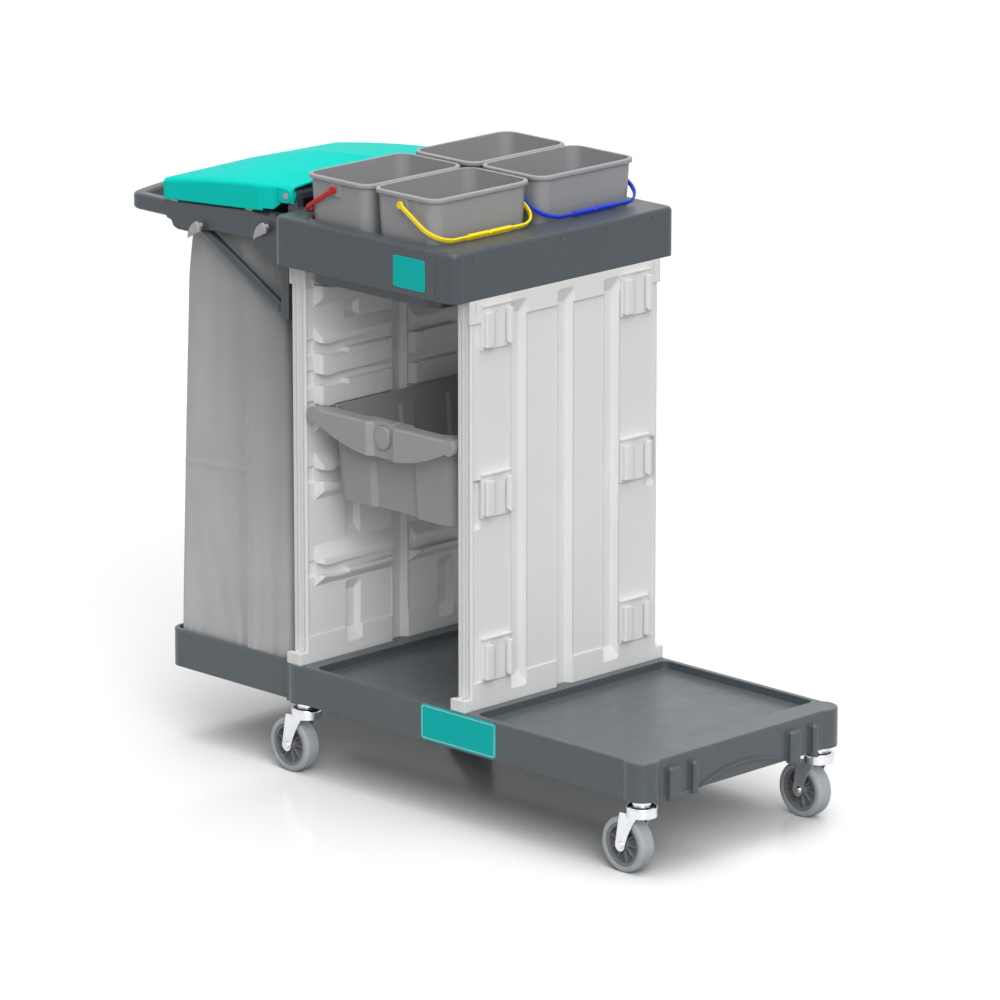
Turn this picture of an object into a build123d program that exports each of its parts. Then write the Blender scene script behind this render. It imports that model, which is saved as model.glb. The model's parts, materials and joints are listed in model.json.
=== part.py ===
from build123d import *
import math
import os

# Cleaning trolley with a front deck, a drawer between two panels, a bucket tray and a lidded bag holder.
# Millimetres. +X is the open front end, -X the push handle, -Y the right-hand side, +Z up, floor at z = 0.
# The origin is on the floor, at the middle of the trolley's box.
# Names that end in BACK are distances behind the base's front end face.

# Base deck
BASE_TOP = 207.0
BASE_BOTTOM = 137.0
BASE_LENGTH = 1204.0
BASE_HALF = 250.0
BASE_WALL = 5.0
BASE_EDGE_R = 3.0
BAG_BASE_HALF = 240.0
BAG_BASE_BACK = 882.0
BAG_BASE_R = 26.0
DECK_FLOOR = 193.0
DECK_SKIN = 4.0
DECK_RIM = 12.0
DECK_BACK = ((52.0, 414.0), (495.0, 820.0))
DECK_R = 14.0
BAG_FLOOR = 160.0
BAG_RIM = 8.0
BAG_WELL_BACK = 898.0
RIB_T = 4.0
RIB_PITCH = 125.0
RIB_BOTTOM = 147.0
RIB_Y = (-122.0, -2.0, 118.0)
END_POST_PROUD = 11.0
END_POST_PAIRS = (-150.0, 153.0)
END_POST_WIDTHS = (26.0, 13.0)
END_POST_OFFSETS = (-27.0, 24.0)
END_POST_Z = (132.0, 190.0)
END_POST_EDGE = 4.0
END_POST_R = 5.0
FRONT_CORNER_R = 30.0
ARCH_HALF = 110.0
ARCH_RISE = 25.0
ARCH_W = 5.0
ARCH_PROUD = 4.0

# Casters
WHEEL_R = 50.0
WHEEL_W = 32.0
HUB_R = 39.0
HUB_W = 28.0
HUB_RIM_IN = 33.0
HUB_WEB = 6.0
HUB_BOSS_R = 11.0
HUB_BOSS_W = 35.0
HUB_RIBS = 9
HUB_RIB_T = 2.4
TYRE_SHOULDER = 6.0
TRAIL = 32.0
CASTER_INSET = 26.0
CASTER_BACK = {"front": 26.0, "rear": 857.5}
BOSS_R = 32.0
BOSS_CORE_R = 29.0
STEM_R = 11.0
STEM_TOP = 180.0
STEM_FLANGE_R = 17.0
SWIVEL_PIN_R = 6.0
SWIVEL_NUT_R = 9.0
SWIVEL_NUT_H = 5.0
HEAD_R = 27.5
HEAD_Z = (106.0, 126.0)
HEAD_EDGE_R = 7.0
FORK_IN = 18.2
FORK_OUT = 21.0
FORK_END_R = 11.0
FORK_ROOT_Z = 110.0
FORK_ROOT = (-33.0, 10.0)
FORK_WAIST = (-9.5, 79.0)
FORK_CORNER_R = 5.0
AXLE_R = 4.0
AXLE_HEAD_R = 7.0
AXLE_HALF = 24.0
RUNNING = 0.06
SNUG = 0.1
GAP = 0.3

# Upright panels, each of two half shells
PANEL_HALF_T = 17.0
PANEL_HALF = 232.0
PANEL_TOP = 942.0
PANEL_BACK = {"front": 448.0, "rear": 863.4}
PANEL_SKIN = 5.0
PANEL_FRAME = 9.0
PANEL_EDGE = 3.0
PANEL_SEAM = 1.2
EDGE_LINE_X = (7.0, 10.0)
EDGE_LINE_DEEP = 1.5
FOOT_HALF = 250.0
FOOT_TOP = 228.0
FOOT_SCREW_IN = 9.0
FOOT_SCREW_R = 2.5
FOOT_SCREW_DEEP = 14.0
FOOT_HEAD_R = 4.2
FOOT_HEAD_H = 2.0
COLLAR_Z = 900.0
COLLAR_HALF = 236.0
COLLAR_PROUD = 1.6
COLLAR_SLIT_Y = (220.0, 222.0)
COLLAR_SLIT_Z = (914.0, 936.0)
FIELD_DEEP = 2.5
FIELD_Y = (135.5, 227.0)
SKIRT_Z = 256.0
GROOVE_Y = (-115.5, 0.0, 115.5)
GROOVE_W = 40.0
GROOVE_FLOOR_W = 21.0
GROOVE_DEEP = 13.0
GROOVE_RAMP = 24.0
GROOVE_R = (7.0, 3.5)
GROOVE_Z = (228.0, 925.0)
SIDE_SLOT_Y = (207.0, 227.0)
SIDE_SLOT_Z = (528.0, 620.0)
SIDE_SLOT_DEEP = 10.0
SIDE_SLOT_RAMP = 12.0

# Accessory clip rails on the front panel
CLIP_Y = 173.0
CLIP_Z = (891.0, 590.5, 294.5)
CLIP_W = 73.0
CLIP_H = 80.0
CLIP_PROUD = 3.0
CLIP_LEDGE = 3.5
CLIP_EDGE = 3.0
CLIP_DEEP = 14.0
CLIP_RAIL_H = 62.0
CLIP_RAIL_W = (19.0, 11.0)
CLIP_LIP = 4.0

# Runner blocks on the panels' inner faces, the slots in them, and a pocket beside each slot's mouth
BLOCK_Z = ((858.0, 940.0), (630.0, 824.0), (506.0, 593.0), (347.0, 421.0))
BLOCK_OUT = 13.0
BLOCK_Y = (22.0, 209.0)
BLOCK_END = 5.0
BLOCK_RAMPS = (16.0, 22.0)
BLOCK_EDGE_R = 8.0
SLOT_TOPS = (916.0, 792.5, 735.5, 679.5, 561.0, 387.5)
DRAWER_SLOT = 3
SLOT_H = 18.0
SLOT_END = 10.0
MOUTH_UPPER = ((218.0, 8.0), (205.0, 2.0), (190.0, -2.0), (175.0, -2.3), (173.0, 0.0))
MOUTH_LOWER = ((137.0, -18.0), (139.0, -26.0), (150.0, -26.5), (175.0, -26.0), (190.0, -22.0),
               (205.0, -19.0), (218.0, -18.0))
CLICK_Y = (41.0, 47.0)
CLICK_DEEP = 4.0
POCKET_Y = (209.0, 228.0)
POCKET_ABOVE = 7.5
POCKET_BELOW = 9.5
POCKET_DEEP = 7.0
POCKET_RAMP = 10.0
BACKING = 2.0

# Drawer
DRAWER_TOP = 684.0
DRAWER_BOTTOM = 517.0
DRAWER_HALF_X = 157.0
DRAWER_HALF_Y = 210.0
DRAWER_R = 22.0
DRAWER_WALL = 3.0
DRAWER_TAPER = 4.0
LIP_OUT = 236.0
LIP_SKIN = 4.0
LIP_HALF_X = 162.0
LIP_END_Z = 659.0
LIP_LOW_Z = 620.0
LIP_EDGE_R = 5.0
LIP_MID_HALF = 34.0
LIP_MID_DEEP = 11.0
LIP_MID_RAISE = 3.0
NECK_Z = (659.0, 681.0)
KNOB_X = 170.0
KNOB_Z = 671.0
KNOB_R = 14.0
KNOB_L = 24.0
FLANGE_OUT = 9.0
FLANGE_T = 5.0
CHANNEL_W = 116.0
CHANNEL_DEEP = 9.0
BUMP_Y = (-139.0, -20.5, 98.0)
BUMP_W = 40.0
BUMP_DEEP = 5.0
BUMP_TOP = 657.0
BUTTON_W = 36.0
BUTTON_H = 42.0
BUTTON_Z = 658.5
BUTTON_R = 17.0
BUTTON_PROUD = 5.5
BUTTON_EDGE_R = 2.0
BUTTON_FLANGE = 2.5

# Bucket tray
TRAY_BACK = (429.5, 882.0)
TRAY_HALF = 275.5
TRAY_Z = (942.0, 1030.0)
TRAY_R = 18.0
TRAY_EDGE_R = 8.0
TRAY_WALL = 4.0
WELL_BACK = (500.0, 828.0)
WELL_HALF = 250.0
WELL_R = 30.0
WELL_FLOOR = 922.0
WELL_TAPER = 3.0
TRAY_RIB_Y = (-205.0, -105.0, -5.0, 95.0, 195.0)
TRAY_LUG_Y = (-225.0, -12.0, 102.5, 218.5)
TRAY_LUG_Z = 1018.0
TRAY_LUG_R = 4.5
TRAY_LUG_PROUD = 1.0
SEAM_W = 1.0
SEAM_BACK = (474.0, 848.0)

# Buckets and bails
BUCKET_BACK = {"front": 580.0, "rear": 747.5}
BUCKET_Y = 130.5
RIM_X = 163.0
RIM_Y = 246.0
RIM_R = 30.0
RIM_TOP = 1111.0
RIM_H = 8.0
RIM_EDGE_R = 2.5
RIM_OUT = 5.0
BUCKET_TAPER = 3.2
BUCKET_WALL = 3.0
PIVOT_Z = 1092.0
PIVOT_R = 3.0
PLATE_W = 26.0
PLATE_H = 24.0
PLATE_OUT = 121.0
BAIL_Y = 126.5
BAIL_REACH = 106.0
BAIL_REST = 31.0
BAIL_W = 8.0
BAIL_T = 4.6
BAIL_EDGE_R = 1.6
BAIL_CAP = 1.2
BAIL_CORNER_R = 46.0
BAIL_EYE_R = 6.5
GRIP_L = 104.0
GRIP_W = 11.0
GRIP_T = 7.0
GRIP_EDGE_R = 2.0
GRIP_NOTCH = 6.0

# Bag holder: brackets, arms, handle, struts, posts and hooks
ARM_OUT = 214.0
ARM_IN = 184.0
ARM_SKIN = 3.0
ARM_TOP = ((996.0, 1008.0), (1205.0, 993.0), (1225.0, 992.0))
ARM_UNDER = ((1225.0, 961.0), (1213.0, 959.0), (1207.0, 948.0), (1195.0, 944.0), (1160.0, 944.0),
             (1140.0, 952.0), (1097.0, 957.0), (996.0, 960.0))
ARM_OPEN_Z = (943.0, 975.0)
ARM_LUG_BACK = (1190.0, 1220.0)
ARM_LUG_R = 6.0
TONGUE_BACK = 905.0
TONGUE_Z = (966.0, 1000.0)
BRACKET_OUT = 220.0
BRACKET_SKIN = 4.0
BRACKET_BACK = (882.0, 996.0)
BRACKET_Z = (930.0, 1007.0)
BRACKET_ARC = ((936.0, 930.0), (972.0, 936.0), (996.0, 957.0))
BRACKET_CAP_BACK = 950.0
BRACKET_CAP_R = 8.0
BRACKET_CAP_H = 4.0
HANDLE_Y = 200.0
HANDLE_Z = 977.0
HANDLE_TALL = 30.0
HANDLE_WIDE = 26.0
HANDLE_EDGE_R = 7.0
HANDLE_BEND_BACK = 1301.5
HANDLE_BEND_R = 18.0
HANDLE_BOW = 18.6
STRUT_Y = (193.0, 209.0)
STRUT_W = 19.0
STRUT_EDGE_R = 7.0
STRUT_LOW = (941.0, 843.0)
STRUT_HIGH = (1165.0, 966.0)
STRUT_PIN_R = 5.0
POST_BACK = (909.0, 928.0)
POST_Y = (188.0, 212.0)
POST_BOTTOM = 825.0
POST_EAR_Y = (185.5, 191.5)
POST_EAR_R = 12.0
POST_WEB_Y = (196.0, 204.0)
POST_WEB_Z = (835.0, 924.0)
HOOKS = ((1141.0, 953.0, ARM_OUT), (962.0, 980.0, BRACKET_OUT))
HOOK_T = 5.0
HOOK_STAND = 9.0
HOOK_CROWN = (8.0, 17.0)
HOOK_TIP = (-15.0, -17.0)
HOOK_HEEL = (15.0, -1.5)
HOOK_NOSE_BEND = (-8.0, 5.0)
HOOK_BACK_BEND = (13.5, 9.0)
HOOK_UNDER_BEND = (1.0, -8.0)
HOOK_EDGE_R = 1.2
HOOK_STUD = (-5.0, -2.7)
HOOK_STUD_R = 2.0
HOOK_NECK = (5.0, 5.0)
HOOK_NECK_L = 8.0
HOOK_NECK_W = 9.0
HOOK_NECK_TURN = 60.0

# Bag
BAG_BOTTOM_BACK = (902.0, 1194.0)
BAG_TOP_BACK = (960.0, 1212.0)
BAG_BOTTOM_HALF = 228.0
BAG_TOP_HALF = 181.0
BAG_TOP = 984.0
BAG_R = 14.0
BAG_WALL = 3.0

# Lid, with its values at the hinge end and at the handle end, and how steeply its lines fall between them
HINGE_BACK = 914.0
HINGE_Z = 1048.0
LID_BACK = (899.0, 1232.5)
LID_STEPS = 20
LID_HALF = (210.0, 217.0)
LID_NECK_BACK = (936.0, 980.0)
LID_LOW_Z = (1019.1, 995.5)
LID_EDGE_Z = (1066.5, 1033.0)
LID_EDGE_CURVE = 1.6
LID_RIDGE_Z = (1087.0, 1036.5)
LID_RIDGE_CURVE = 1.9
LID_RIDGE_R = 25.0
LID_SKIN = 3.5
LID_EDGE_R = 9.0
LID_END_R = 6.0
LID_END_STEPS = 3
LID_DROP = 20.0
LID_NOTCH = ((972.0, 1000.0), (972.0, 1018.0), (948.0, 1019.0), (926.0, 1036.0), (890.0, 1036.0),
             (890.0, 1000.0))
LID_EAR_OUT = 212.0
LID_EAR_IN = 199.0
LID_EAR_R = 13.0
LID_EAR_L = 22.0
LID_PIN_R = 6.3
LID_PAD_BACK = (1206.0, 1010.0)
LID_PAD_L = 16.0
LID_PAD_W = 7.0
LID_PAD_H = 10.0
HINGE_TUBE_R = 10.0
LID_BRACKET_Y = (182.0, 196.0)
LID_BRACKET_R = 12.0
LID_BRACKET_Z = (1009.0, 1026.0)

RIGHT = -1
LEFT = 1
SIDES = {"right": RIGHT, "left": LEFT}
COMPARTMENT_BACK = (PANEL_BACK["front"] + PANEL_BACK["rear"]) / 2
COMPARTMENT_HALF = (PANEL_BACK["rear"] - PANEL_BACK["front"]) / 2 - PANEL_HALF_T
HANDLE_HALF = HANDLE_Y - HANDLE_BEND_R * (1 - math.sin(math.radians(HANDLE_BOW)))
HANDLE_BOW_BACK = HANDLE_BEND_BACK + HANDLE_BEND_R * math.cos(math.radians(HANDLE_BOW))
HANDLE_MID_BACK = HANDLE_BOW_BACK + HANDLE_HALF * math.tan(math.radians(HANDLE_BOW / 2))
FRONT = (HANDLE_MID_BACK + HANDLE_WIDE / 2 - END_POST_PROUD) / 2


def at(back):
    """X of a point this far behind the base's front end face."""
    return FRONT - back


def slab(x0, x1, y0, y1, z0, z1):
    """Box between two corners, given in any order."""
    centre = Pos((x0 + x1) / 2, (y0 + y1) / 2, (z0 + z1) / 2)
    return centre * Box(abs(x1 - x0), abs(y1 - y0), abs(z1 - z0))


def rounded_slab(x0, x1, y0, y1, z0, z1, r, taper=0.0):
    """Slab with rounded upright edges, extruded from z0 to z1; a negative taper widens it on the way."""
    outline = RectangleRounded(abs(x1 - x0), abs(y1 - y0), r)
    return extrude(Pos((x0 + x1) / 2, (y0 + y1) / 2, z0) * outline, amount=z1 - z0, taper=taper)


def rod(x, y0, y1, z, r):
    """Round bar along Y."""
    return Pos(x, (y0 + y1) / 2, z) * Rot(90, 0, 0) * Cylinder(r, abs(y1 - y0))


def post(x, y, z0, z1, r):
    """Round bar along Z."""
    return Pos(x, y, (z0 + z1) / 2) * Cylinder(r, z1 - z0)


def plate(outline, y0, y1):
    """Sketch drawn in X and Z, made into a plate between y0 and y1."""
    face = Plane(origin=(0, max(y0, y1), 0), x_dir=(1, 0, 0), z_dir=(0, -1, 0)) * outline
    return extrude(face, amount=abs(y1 - y0))


def profile(outline, x0, x1):
    """Sketch drawn in Y and Z, made into a bar between x0 and x1."""
    face = Plane(origin=(min(x0, x1), 0, 0), x_dir=(0, 1, 0), z_dir=(1, 0, 0)) * outline
    return extrude(face, amount=abs(x1 - x0))


def shape(*points):
    """Closed polygon through points, in the sketch's own coordinates."""
    return make_face(Polyline(*points, close=True))


def fuse_all(first, others):
    for other in others:
        first = first + other
    return first


def cut_all(first, others):
    for other in others:
        first = first - other
    return first


def save(name, solids):
    """Write one node; a list is kept as separate solids."""
    shown = Compound(children=solids) if isinstance(solids, list) else solids
    export_step(shown, f"parts/{name}.step")


def caster_places():
    """Swivel axis of each caster."""
    return {f"{end}_{name}": (at(back), side * (BASE_HALF - CASTER_INSET))
            for end, back in CASTER_BACK.items() for name, side in SIDES.items()}


def foot_screw_places():
    """Two screws in each end of each panel's foot, one through each half shell."""
    return [(at(back) + half * PANEL_HALF_T / 2, side * (FOOT_HALF - FOOT_SCREW_IN))
            for back in PANEL_BACK.values() for half in (-1, 1) for side in SIDES.values()]


def base_outline():
    """Plan of the base: main deck, narrower bag end and a round boss at each caster."""
    main = Pos(at(BAG_BASE_BACK / 2), 0) * Rectangle(BAG_BASE_BACK, 2 * BASE_HALF)
    main = fillet(main.vertices().group_by(Axis.X)[-1], FRONT_CORNER_R)
    bag_length = BASE_LENGTH - BAG_BASE_BACK + BOSS_R
    bag = Pos(at(BASE_LENGTH - bag_length / 2), 0) * Rectangle(bag_length, 2 * BAG_BASE_HALF)
    bag = fillet(bag.vertices().group_by(Axis.X)[0], BAG_BASE_R)
    return fuse_all(main + bag, [Pos(x, y) * Circle(BOSS_R) for x, y in caster_places().values()])


def end_posts():
    """Two pairs of accessory posts on the base's front end face."""
    solids = []
    for pair in END_POST_PAIRS:
        for offset, width in zip(END_POST_OFFSETS, END_POST_WIDTHS):
            y0 = pair + offset - width / 2
            upright = slab(FRONT - 2, FRONT + END_POST_PROUD, y0, y0 + width, *END_POST_Z)
            upright = fillet(upright.edges().filter_by(Axis.Z).group_by(Axis.X)[-1], END_POST_R)
            crown = upright.faces().sort_by(Axis.Z)[-1].edges().sort_by(Axis.X)[1:]
            solids.append(chamfer(crown, END_POST_EDGE))
    return solids


def end_arch():
    """Raised arch rib on the base's front end face."""
    low = BASE_BOTTOM + 1
    outer = ThreePointArc((-ARCH_HALF, low), (0, low + ARCH_RISE), (ARCH_HALF, low))
    inner = ThreePointArc((ARCH_HALF - ARCH_W, low), (0, low + ARCH_RISE - ARCH_W), (ARCH_W - ARCH_HALF, low))
    ends = [Line(outer @ 1, inner @ 0), Line(inner @ 1, outer @ 0)]
    return profile(make_face([outer, inner] + ends), FRONT - 2, FRONT + ARCH_PROUD)


def base_underside():
    """Hollow under the decks, less the ribs and the caster bosses."""
    hollow_half = BASE_HALF - BASE_WALL
    bag_half = BAG_BASE_HALF - BAG_RIM
    main_end = BAG_BASE_BACK - BOSS_R
    main = slab(at(BASE_WALL), at(main_end), -hollow_half, hollow_half,
                BASE_BOTTOM - 1, DECK_FLOOR - DECK_SKIN)
    bag = slab(at(BAG_WELL_BACK), at(BASE_LENGTH - BAG_RIM), -bag_half, bag_half,
               BASE_BOTTOM - 1, BAG_FLOOR - DECK_SKIN)
    cross_ribs = int(main_end // RIB_PITCH)
    ribs = [slab(at(n * RIB_PITCH), at(n * RIB_PITCH + RIB_T), -BASE_HALF, BASE_HALF, RIB_BOTTOM, BASE_TOP)
            for n in range(1, cross_ribs + 1)]
    ribs += [slab(at(0), at(BASE_LENGTH), y, y + RIB_T, RIB_BOTTOM, BASE_TOP) for y in RIB_Y]
    bosses = [post(x, y, BASE_BOTTOM - 2, BASE_TOP, BOSS_CORE_R) for x, y in caster_places().values()]
    return [cut_all(main, ribs + bosses), cut_all(bag, ribs)]


def base_deck():
    body = extrude(Pos(0, 0, BASE_BOTTOM) * base_outline(), amount=BASE_TOP - BASE_BOTTOM)
    body = fillet(body.faces().sort_by(Axis.Z)[-1].outer_wire().edges(), BASE_EDGE_R)
    deck_half = BASE_HALF - DECK_RIM
    for near, far in DECK_BACK:
        body -= rounded_slab(at(far), at(near), -deck_half, deck_half, DECK_FLOOR, BASE_TOP + 1, DECK_R)
    bag_half = BAG_BASE_HALF - BAG_RIM
    body -= rounded_slab(at(BASE_LENGTH - BAG_RIM), at(BAG_WELL_BACK), -bag_half, bag_half,
                         BAG_FLOOR, BASE_TOP + 1, BAG_BASE_R - BAG_RIM)
    body = cut_all(body, base_underside())
    body = fuse_all(body, end_posts() + [end_arch()])
    body = cut_all(body, [post(x, y, BASE_BOTTOM - 1, STEM_TOP + 1, STEM_R)
                          for x, y in caster_places().values()])
    return cut_all(body, [post(x, y, BASE_TOP - FOOT_SCREW_DEEP, BASE_TOP + 1, FOOT_SCREW_R)
                          for x, y in foot_screw_places()])


def caster_stem(x, y):
    """Fixed plug in the base's boss, with the pin and nut that hold the swivel head."""
    head_low, head_high = HEAD_Z
    plug = post(x, y, BASE_BOTTOM, STEM_TOP, STEM_R - SNUG)
    flange = post(x, y, head_high + GAP, BASE_BOTTOM, STEM_FLANGE_R)
    pin = post(x, y, head_low - SWIVEL_NUT_H, BASE_BOTTOM, SWIVEL_PIN_R)
    nut = post(x, y, head_low - SWIVEL_NUT_H, head_low - GAP, SWIVEL_NUT_R)
    return plug + flange + pin + nut


def caster_fork(x, y):
    """Pressed swivel fork: round head and two tapered legs that carry the axle."""
    head_low, head_high = HEAD_Z
    axle_x = x - TRAIL
    head = post(x, y, head_low, head_high, HEAD_R)
    head = fillet(head.faces().sort_by(Axis.Z)[-1].edges(), HEAD_EDGE_R)
    root_back, root_front = FORK_ROOT
    waist_x, waist_z = FORK_WAIST
    toe = (axle_x + FORK_END_R, WHEEL_R)
    front = ThreePointArc((x + root_front, FORK_ROOT_Z), (x + waist_x, waist_z), toe)
    leg = make_face([front, Polyline(toe, (axle_x - FORK_END_R, WHEEL_R),
                                     (x + root_back, FORK_ROOT_Z), front @ 0)])
    leg = fillet(leg.vertices().sort_by(Axis.Y)[-2:].sort_by(Axis.X)[0], FORK_CORNER_R)
    leg += Pos(axle_x, WHEEL_R) * Circle(FORK_END_R)
    legs = [plate(leg, y + side * FORK_IN, y + side * FORK_OUT) for side in SIDES.values()]
    bores = [post(x, y, head_low - 1, head_high + 1, SWIVEL_PIN_R + RUNNING),
             rod(axle_x, y - AXLE_HALF, y + AXLE_HALF, WHEEL_R, AXLE_R + SNUG)]
    return cut_all(fuse_all(head, legs), bores)


def caster_axle(x, y):
    """Axle bolt with a head and a nut outside the fork's legs."""
    axle_x = x - TRAIL
    bolt = rod(axle_x, y - FORK_OUT, y + FORK_OUT, WHEEL_R, AXLE_R)
    ends = [rod(axle_x, y + side * FORK_OUT, y + side * AXLE_HALF, WHEEL_R, AXLE_HEAD_R)
            for side in SIDES.values()]
    return fuse_all(bolt, ends)


def wheel_hub(x, y):
    """Hub with a web, a rim, a centre boss and radial ribs on both sides."""
    axle_x = x - TRAIL
    rim = rod(axle_x, y - HUB_W / 2, y + HUB_W / 2, WHEEL_R, HUB_R - SNUG)
    rim -= rod(axle_x, y - HUB_W, y + HUB_W, WHEEL_R, HUB_RIM_IN)
    web = rod(axle_x, y - HUB_WEB / 2, y + HUB_WEB / 2, WHEEL_R, HUB_RIM_IN + 1)
    boss = rod(axle_x, y - HUB_BOSS_W / 2, y + HUB_BOSS_W / 2, WHEEL_R, HUB_BOSS_R)
    body = rim + web + boss
    rib_length = HUB_RIM_IN - HUB_BOSS_R + 2
    for n in range(HUB_RIBS):
        rib = Pos((HUB_RIM_IN + HUB_BOSS_R) / 2, 0, 0) * Box(rib_length, HUB_W - HUB_WEB, HUB_RIB_T)
        body += Pos(axle_x, y, WHEEL_R) * Rot(0, n * 360 / HUB_RIBS, 0) * rib
    return body - rod(axle_x, y - WHEEL_W, y + WHEEL_W, WHEEL_R, AXLE_R + RUNNING)


def wheel_tyre(x, y):
    """Solid tyre with round shoulders."""
    axle_x = x - TRAIL
    tyre = rod(axle_x, y - WHEEL_W / 2, y + WHEEL_W / 2, WHEEL_R, WHEEL_R)
    tyre = fillet(tyre.edges().filter_by(GeomType.CIRCLE), TYRE_SHOULDER)
    return tyre - rod(axle_x, y - WHEEL_W, y + WHEEL_W, WHEEL_R, HUB_R)


def groove(y, z0, z1):
    """Vertical groove in a half shell's face and collar: sloped sides, ramped ends, round corners."""
    middle = (z0 + z1) / 2
    ramp = min(GROOVE_RAMP, (z1 - z0) / 4)
    over = COLLAR_PROUD + 1
    growth = 1 + over / GROOVE_DEEP
    mouth = Plane(origin=(PANEL_HALF_T + over, y, middle), x_dir=(0, 1, 0), z_dir=(1, 0, 0))
    floor = Plane(origin=(PANEL_HALF_T - GROOVE_DEEP, y, middle), x_dir=(0, 1, 0), z_dir=(1, 0, 0))
    floor_length = z1 - z0 - 2 * ramp
    mouth_w = GROOVE_FLOOR_W + growth * (GROOVE_W - GROOVE_FLOOR_W)
    mouth_r, floor_r = GROOVE_R
    return loft([mouth * RectangleRounded(mouth_w, floor_length + growth * 2 * ramp, mouth_r),
                 floor * RectangleRounded(GROOVE_FLOOR_W, floor_length, floor_r)])


def panel_blank():
    """Half shell before its face is detailed; x is counted outwards from the panel's middle plane."""
    body = slab(0, PANEL_HALF_T, -PANEL_HALF, PANEL_HALF, BASE_TOP, PANEL_TOP)
    body = fillet(body.edges().filter_by(Axis.Z).group_by(Axis.X)[-1], PANEL_EDGE)
    body = chamfer(body.edges().filter_by(Axis.Z).group_by(Axis.X)[0], PANEL_SEAM)
    edges = [-PANEL_HALF + PANEL_FRAME]
    solid_half = GROOVE_W / 2 + PANEL_EDGE
    for y in GROOVE_Y:
        edges += [y - solid_half, y + solid_half]
    edges.append(PANEL_HALF - PANEL_FRAME)
    for y0, y1 in zip(edges[::2], edges[1::2]):
        body -= slab(-1, PANEL_HALF_T - PANEL_SKIN, y0, y1, BASE_TOP + PANEL_FRAME, PANEL_TOP - PANEL_FRAME)
    for side in SIDES.values():
        line_y = side * (PANEL_HALF - EDGE_LINE_DEEP)
        body -= slab(*EDGE_LINE_X, line_y, side * (PANEL_HALF + 1), FOOT_TOP, COLLAR_Z)
        foot_in = PANEL_HALF - PANEL_FRAME
        foot = slab(0, PANEL_HALF_T, side * foot_in, side * FOOT_HALF, BASE_TOP, FOOT_TOP)
        screw_y = side * (FOOT_HALF - FOOT_SCREW_IN)
        foot -= post(PANEL_HALF_T / 2, screw_y, BASE_TOP - 1, FOOT_TOP + 1, FOOT_SCREW_R)
        body += foot
    return body


def fields(z0, z1):
    """Shallow recessed fields between the grooves."""
    inset = GROOVE_W / 2
    face = PANEL_HALF_T - FIELD_DEEP
    clear = PANEL_HALF_T + COLLAR_PROUD + 1
    return [slab(face, clear, a + inset, b - inset, z0, z1) for a, b in zip(GROOVE_Y, GROOVE_Y[1:])]


def clip_places():
    return [(side * CLIP_Y, z) for side in SIDES.values() for z in CLIP_Z]


def blind_pocket(body, side, span, rise, deep, ramp):
    """Pocket near a half shell's side edge, backed inside and ramped at its lower end."""
    near, far = (side * y for y in span)
    low, high = rise
    face = PANEL_HALF_T - FIELD_DEEP
    floor = PANEL_HALF_T - deep
    body += slab(floor - BACKING, face, near - side * PANEL_FRAME, far, low, high)
    return body - plate(shape((PANEL_HALF_T, low), (floor, low + ramp), (floor, high), (PANEL_HALF_T, high)),
                        near, far)


def outer_half(with_clips):
    """Half shell with the plain outer face: collar, fields, three grooves and seats for the clip rails."""
    body = panel_blank()
    face = PANEL_HALF_T - FIELD_DEEP
    clear = PANEL_HALF_T + COLLAR_PROUD + 1
    body += slab(face, PANEL_HALF_T + COLLAR_PROUD, -COLLAR_HALF, COLLAR_HALF, COLLAR_Z, PANEL_TOP)
    body = cut_all(body, fields(SKIRT_Z, COLLAR_Z))
    for side in SIDES.values():
        field_near, field_far = (side * y for y in FIELD_Y)
        body -= slab(face, clear, field_near, field_far, SKIRT_Z, COLLAR_Z)
        slit_near, slit_far = (side * y for y in COLLAR_SLIT_Y)
        body -= slab(PANEL_HALF_T, clear, slit_near, slit_far, *COLLAR_SLIT_Z)
        body = blind_pocket(body, side, SIDE_SLOT_Y, SIDE_SLOT_Z, SIDE_SLOT_DEEP, SIDE_SLOT_RAMP)
    if with_clips:
        for y, z in clip_places():
            body -= slab(face, clear, y - CLIP_W / 2, y + CLIP_W / 2, z - CLIP_H / 2, z + CLIP_H / 2)
    low, high = GROOVE_Z
    return cut_all(body, [groove(y, low if y else BASE_TOP - 2 * GROOVE_RAMP, high) for y in GROOVE_Y])


def inner_half():
    """Half shell that faces the compartment: recessed face, pockets, grooves between the runner blocks."""
    body = panel_blank()
    face = PANEL_HALF_T - FIELD_DEEP
    low_end, high_end = GROOVE_Z
    bottoms = [high for _, high in BLOCK_Z[1:]] + [low_end]
    tops = [low for low, _ in BLOCK_Z]
    for side in SIDES.values():
        body -= slab(face, PANEL_HALF_T + 1, side * GROOVE_W / 2, side * FIELD_Y[1], SKIRT_Z, PANEL_TOP + 1)
        for top in SLOT_TOPS:
            rise = (top - SLOT_H - POCKET_BELOW, top + POCKET_ABOVE)
            body = blind_pocket(body, side, POCKET_Y, rise, POCKET_DEEP, POCKET_RAMP)
    body -= groove(0.0, BASE_TOP - 2 * GROOVE_RAMP, high_end)
    return cut_all(body, [groove(y, low, high) for y in (GROOVE_Y[0], GROOVE_Y[-1])
                          for low, high in zip(bottoms, tops)])


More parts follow.
